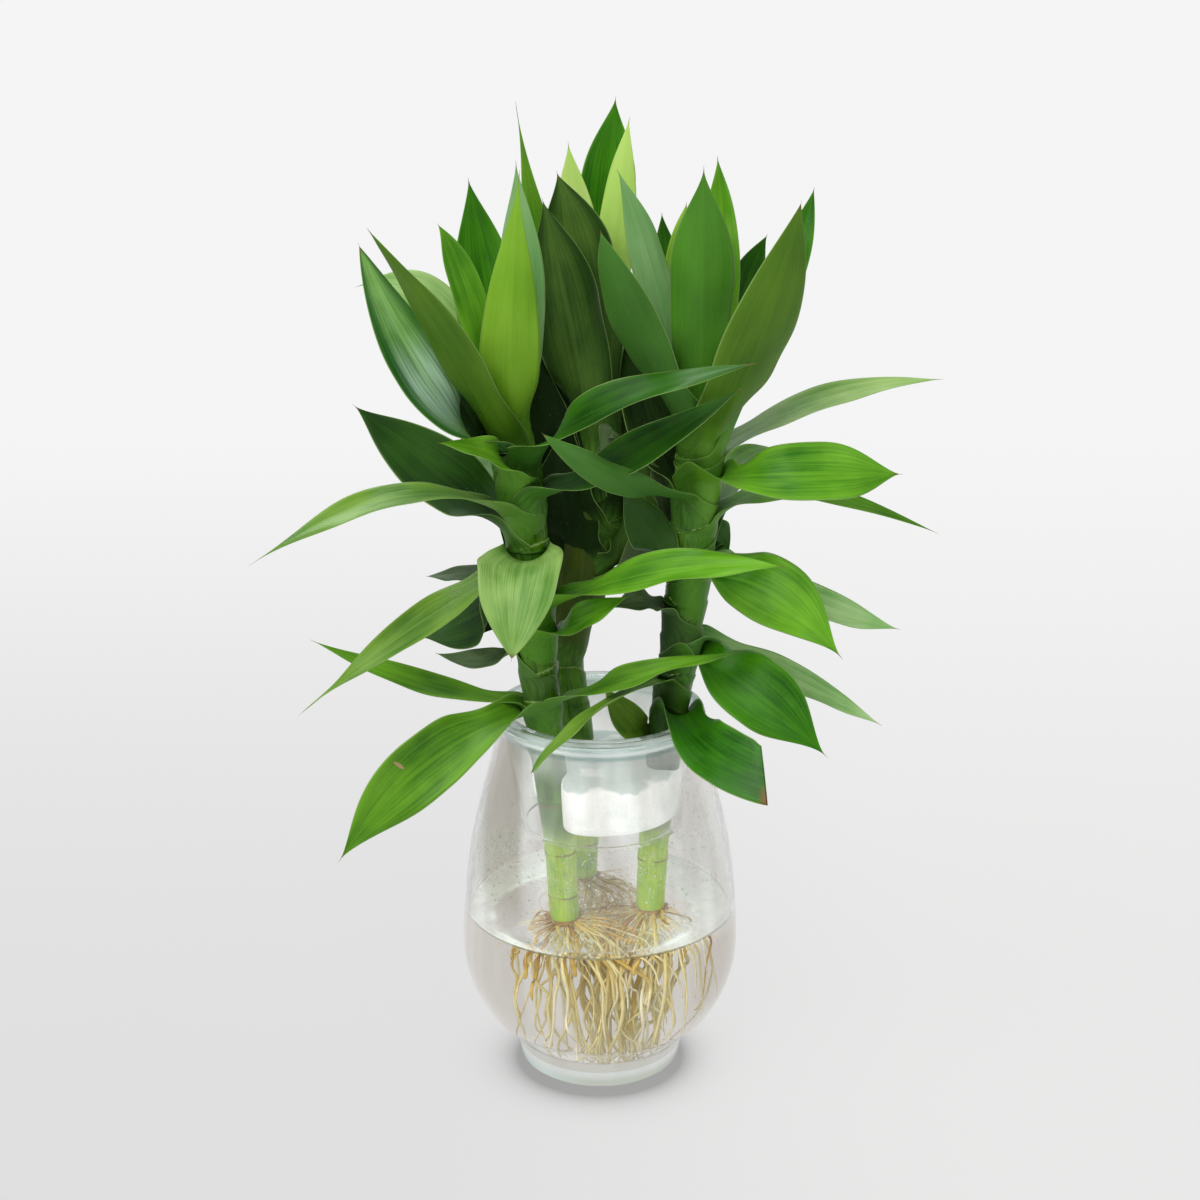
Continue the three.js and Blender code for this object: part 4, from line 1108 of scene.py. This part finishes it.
# Where pale roots of middling thickness end that sweep away forward and to the right
SIDE_ROOTS = {
    "left": ((20, -26, 46), (9, -30, 38), (27, -20, 38), (2, -30, 26)),
    "right": ((35, -15, 28), (30, -24, 22), (38, -8, 33), (24, -22, 16), (33, -20, 38), (28, -13, 16)),
}


def crown_patch(x, y, z):
    """The brown knob under a cane: a ball with lumps of two sines."""
    around = np.arange(24) * 2 * math.pi / 24
    levels = np.linspace(0, 1, 14)
    knob = CROWN * np.sqrt(np.clip(1 - (1.6 * levels - 0.6) ** 2, 0, 1)) * (1 + 0.1 * np.sin(9 * levels))
    twist = levels[:, None]
    lumps = 1 + 0.12 * np.sin(4 * around + 7 * twist) + 0.09 * np.sin(9 * around - 8 * twist)
    knob[[0, -1]] = 0
    ring = np.stack([np.cos(around) * lumps, np.sin(around) * lumps, 0 * lumps], -1)
    crown = np.array([x, y, 0]) + knob[:, None, None] * ring
    crown[..., 2] = (z + 0.6 - 8 * levels)[:, None]
    return Patch(crown, tone=0.03)


def hanging_root(x, y, z, drift, scatter, fine, draw):
    """A root from the crown over a shoulder near the water's surface to a hanging tip, or a fine short one.

    It is a cubic curve with a wiggle of two sines, and it thins towards its tip. Its tone is its age.
    """
    lean = draw.normal(drift, scatter) * (0.75 if fine else 1)
    heading = unit(lean)
    start = np.array([x, y, z - draw.uniform(0.5, 6.5)])
    start[:2] += 5 * heading * draw.uniform(0.5, 1)
    if fine:
        tip = start + (*(heading * draw.uniform(5, 19)), -draw.uniform(-2, 10))
        tip[2] = min(tip[2], WATER_LEVEL - 1)
    else:
        tip = start + (*lean, 0)
        tip[2] = ROOT_FLOOR + draw.uniform(0, 1) ** 2 * 24
    room = np.interp(tip[2], *ROOT_ROOM)
    tip[:2] *= min(1, room / max(np.hypot(*tip[:2]), 1))
    wide = tip[:2].copy()
    if not fine:
        tip[:2] = mix(tip[:2], ROOT_MIDDLE, draw.uniform(0.1, 0.5))
    t = np.linspace(0, 1, 10 if fine else 30)[:, None]
    rise = draw.uniform(-1, 3)
    shoulder = mix(start, (*wide, min(start[2] + rise, WATER_LEVEL - 2)), draw.uniform(0.4, 1.2))
    knee = mix(tip, (*wide, start[2]), draw.uniform(0.2, 0.75))
    knee[:2] += draw.normal(0, 0 if fine else 11, 2)
    path = (1 - t) ** 3 * start + 3 * t * (1 - t) ** 2 * shoulder + 3 * t ** 2 * (1 - t) * knee
    path += t ** 3 * tip
    bends, phases = draw.uniform(4, 20, (2, 3)), draw.uniform(0, 6, (2, 3))
    wiggle = np.sin(t * bends[0] + phases[0]) + 0.6 * np.sin(t * bends[1] * 1.6 + phases[1])
    path += (0.35 if fine else 1.3) * t ** 0.5 * wiggle
    path[:, 2] = np.clip(path[:, 2], ROOT_FLOOR - 1, WATER_LEVEL - 0.8)
    thick = draw.uniform(0.1, 0.2) if fine else draw.uniform(0.42, 0.82)
    radius = thick * (1 - 0.5 * t[:, 0] ** 2) * (1 + 0.08 * np.sin(t[:, 0] * 60))
    age = (draw.uniform(0.0, 0.4) if fine else draw.uniform(-0.15, 0.25)) + t * draw.uniform(0.5, 1.2)
    return Patch(tube(path, radius, 4 if fine else 7), tone=age)


def arched_root(x, y, z, end, girth, young, old, draw):
    """A root that leaves its crown level and bends down to its end: a parabola with a slight wiggle."""
    t = np.linspace(0, 1, 24)[:, None]
    path = parabola(np.array([x, y, z - 4.0]), np.array([end[0], end[1], z - 2]), np.array(end, float), t)
    path += 0.8 * t * np.sin(t * draw.uniform(6, 16, 3) + draw.uniform(0, 6, 3))
    thick = girth * (1 - 0.5 * t[:, 0]) * (1 + 0.16 * np.sin(t[:, 0] * 26))
    return Patch(tube(path, thick, 8), tone=mix(young, old, t))


def root_patches(stem, seed):
    """The roots of one cane: its crown, main roots that lean over and hang, fine ones, and arched ones."""
    draw = np.random.default_rng(seed)
    x, y, z = STEMS[stem]["line"][0][:3]
    drift, scatter, count = ROOT_SPREAD[stem]
    patches = [crown_patch(x, y, z)]
    for k in range(count + FINE_ROOTS):
        patches.append(hanging_root(x, y, z, drift, scatter, k >= count, draw))
    for ends, girth, young, old in ((OLD_ROOTS, 1.25, -0.1, 0.2), (SIDE_ROOTS, 0.62, 0.12, 0.9)):
        for end in ends.get(stem, ()):
            patches.append(arched_root(x, y, z, end, girth, young, old, draw))
    return patches


# Pale young roots that stand away to the right, each from its start to its tip. The last is thick
WHITE_ROOTS = [
    ((24, -18, 64), (33, -25, 55)), ((25, -20, 63), (37, -22, 57)), ((23, -21, 64), (31, -30, 51)),
    ((27, -20, 62), (30, -31, 57)), ((26, -17, 64), (39, -17, 60)), ((22, -24, 63), (27, -32, 58)),
    ((33, -16, 65), (38, -20, 47)),
]


def white_root_patches(seed):
    """Young roots: each runs from its start to its tip with a hump in its middle and a slight wiggle."""
    draw = np.random.default_rng(seed)
    patches = []
    for k, (start, tip) in enumerate(WHITE_ROOTS):
        t = np.linspace(0, 1, 18)[:, None]
        path = mix(np.array(start, float), np.array(tip, float), t)
        path[:, 2] += 2.5 * np.sin(math.pi * t[:, 0])
        path += 0.5 * np.sin(t * draw.uniform(6, 14) + draw.uniform(0, 6, 3)) * t
        thick = 0.5 if k == len(WHITE_ROOTS) - 1 else 0.22
        patches.append(Patch(tube(path, thick * (1 - 0.5 * t[:, 0]), 6), tone=1.0))
    return patches


# Places between which hair-fine roots run, as x, y: the three crowns and two between them
TANGLE = ((-14, -14), (20, -4), (-7, 26), (2, -8), (4, 6))
TANGLE_ROOTS = 260
TANGLE_HEIGHT = 64.0


def tangle_patches(seed):
    """A haze of brown hair-fine roots that arch from crown to crown just under the water's surface."""
    draw = np.random.default_rng(seed)
    patches = []
    for _ in range(TANGLE_ROOTS):
        ends = draw.choice(len(TANGLE), 2, replace=False)
        start, end = (np.array([*TANGLE[k], TANGLE_HEIGHT]) + draw.normal(0, (6, 5, 1.5)) for k in ends)
        end = mix(start, end, draw.uniform(0.35, 1))
        t = np.linspace(0, 1, 12)[:, None]
        path = mix(start, end, t)
        path += np.sin(math.pi * t) * draw.normal((0, 0, 0.5), (4, 4, 1.5))
        path += 0.4 * np.sin(t * draw.uniform(5, 18, 3) + draw.uniform(0, 6, 3))
        path[:, 2] = np.clip(path[:, 2], 56, WATER_LEVEL - 0.8)
        patches.append(Patch(tube(path, draw.uniform(0.08, 0.15), 4), tone=draw.uniform(-0.05, 0.5)))
    return patches


SHADED_WRAP = 10  # length of a shaded leaf's sheath


def sheath_length(foot, feet):
    """A sheath is 1.6 times as long as the way down to the next foot, and from 11 mm to 24 mm."""
    lower = [f for f in feet if f < foot]
    return min(max(1.6 * (foot - max(lower)), 11), 24) if lower else 12


def plant_pieces():
    """The canes with their young leaves, the leaves with their sheaths, and the roots."""
    paints = {look: leaf_paint(look) for look in LOOKS}
    cane = cane_paint()
    root = root_paint()
    piece("young_roots", white_root_patches(77), root)
    piece("root_tangle", tangle_patches(31), root)
    seed = 1
    for stem in STEMS:
        piece("cane_" + stem, [cane_patch(stem)], cane, ["stem_" + stem])
        piece("root_mass_" + stem, root_patches(stem, seed * 11), root, ["roots_" + stem])
        for k, blade in enumerate(HEARTS[stem]):
            seed += 1
            patch = leaf_patch(stem, blade, 0, seed, young=True)
            piece(f"young_leaf_{stem}_{k + 1}", [patch], paints[blade["look"]])
        for name, blade in SHADED[stem].items():
            seed += 1
            patch = leaf_patch(stem, blade, SHADED_WRAP, seed)
            piece("shaded_" + name, [patch], paints[blade["look"]])
        feet = [blade["foot"] for blade in LEAVES[stem].values()]
        for name, blade in LEAVES[stem].items():
            seed += 1
            patch = leaf_patch(stem, blade, sheath_length(blade["foot"], feet), seed)
            piece("blade_" + name, [patch], paints[blade["look"]], ["leaf_" + name])


FLOOR_LEFT = (0.69, 0.69, 0.69, 1)
FLOOR_RIGHT = (0.76, 0.76, 0.757, 1)
FLOOR_FAR = (0.86, 0.86, 0.86, 1)
SHADE_RADIUS = 0.033  # SHADE_RADIUS = 0.033 # where the painted shadow round the vase's foot starts to fade, in metres
SHADE_MOST = 0.56  # its deepest


def floor_paint():
    """A light table: it glows, brighter to the right and to the back as painted light, and dims in a painted
    shadow, a soft ring round the vase's foot.
    """
    paint = Paint("floor")
    x, y, _ = paint.parts(paint.place())
    grain = paint.noise(paint.place(), 4.0, 4.0) * 0.04
    # Painted light: brighter to the right and to the back
    near = paint.blend(FLOOR_LEFT, FLOOR_RIGHT, x.step(-0.09, 0.16))
    base = paint.blend(near, FLOOR_FAR, y.step(-0.1, 1.1) + grain)
    # A painted shadow: a soft dark ring round the vase's foot
    away = (x ** 2 + (y + 0.004) ** 2) ** 0.5 - SHADE_RADIUS
    shade = (away * -150).exp() * 0.62
    outside = (x ** 2 + y ** 2).step(0.00072, 0.00092)
    base = paint.blend(base, (0, 0, 0, 1), (shade - (shade - SHADE_MOST).largest(0)) * outside)
    return paint.finish(paint.shader(
        Base_Color=(0.05, 0.05, 0.05, 1), Roughness=0.95, Specular_IOR_Level=0.0, Emission_Color=base,
        Emission_Strength=1.0,
    ))


def floor_stage():
    """The floor, 800 m square, so that it reaches the skyline."""
    floor = bpy.data.objects.new("floor", bpy.data.meshes.new("floor"))
    size = 400.0
    corners = [(-size, -size, 0), (size, -size, 0), (size, size, 0), (-size, size, 0)]
    floor.data.from_pydata(corners, [], [(0, 1, 2, 3)])
    bpy.context.scene.collection.objects.link(floor)
    floor.data.materials.append(floor_paint())


SKY = (0.97, 0.985, 1.0, 1)
SKY_LIGHT = 0.4
SKY_SEEN = 0.88


def sky():
    """An even sky. It is brighter where it is seen, also through clear glass or in a sharp mirror image."""
    world = bpy.data.worlds.new("sky")
    world.use_nodes = True
    nodes, links = world.node_tree.nodes, world.node_tree.links
    seen = nodes.new("ShaderNodeLightPath")
    sharp = nodes.new("ShaderNodeMath")
    sharp.operation = "MAXIMUM"
    links.new(seen.outputs["Is Camera Ray"], sharp.inputs[0])
    links.new(seen.outputs["Is Singular Ray"], sharp.inputs[1])
    strength = nodes.new("ShaderNodeMapRange")
    links.new(sharp.outputs[0], strength.inputs[0])
    strength.inputs[3].default_value = SKY_LIGHT
    strength.inputs[4].default_value = SKY_SEEN
    links.new(strength.outputs[0], nodes["Background"].inputs["Strength"])
    nodes["Background"].inputs["Color"].default_value = SKY
    bpy.context.scene.world = world


# Each lamp's kind, place in metres, size, power and colour. The sun's size is its angle in radians
LAMPS = {
    "key": ("SUN", (-0.45, -0.7, 1.4), 0.9, 2.4, (1, 0.985, 0.96)),
    "window": ("AREA", (-0.3, 0.6, 1.25), 0.7, 14.0, (0.94, 0.98, 1)),
    "left_panel": ("AREA", (-0.62, -0.42, 0.38), 0.2, 0.9, (0.92, 0.97, 1)),
    "right_panel": ("AREA", (0.6, -0.54, 0.58), 0.22, 0.8, (0.92, 0.97, 1)),
}
LAMP_AIM = (0, 0, 0.25)


def lamps():
    """A soft sun, and three lamps that give gloss alone. None of them is seen through glass."""
    for name, (kind, place, size, power, tint) in LAMPS.items():
        lamp = bpy.data.lights.new(name, kind)
        lamp.energy = power
        lamp.color = tint
        if kind == "SUN":
            lamp.angle = size
        else:
            lamp.size = size
        holder = bpy.data.objects.new(name, lamp)
        holder.location = place
        holder.visible_diffuse = kind == "SUN"
        holder.visible_transmission = False
        aim = Vector(LAMP_AIM) - Vector(place)
        holder.rotation_euler = aim.to_track_quat("-Z", "Y").to_euler()
        bpy.context.scene.collection.objects.link(holder)


floor_stage()
sky()
lamps()
bpy.context.scene.view_settings.view_transform = "Standard"
vase_pieces()
plant_pieces()
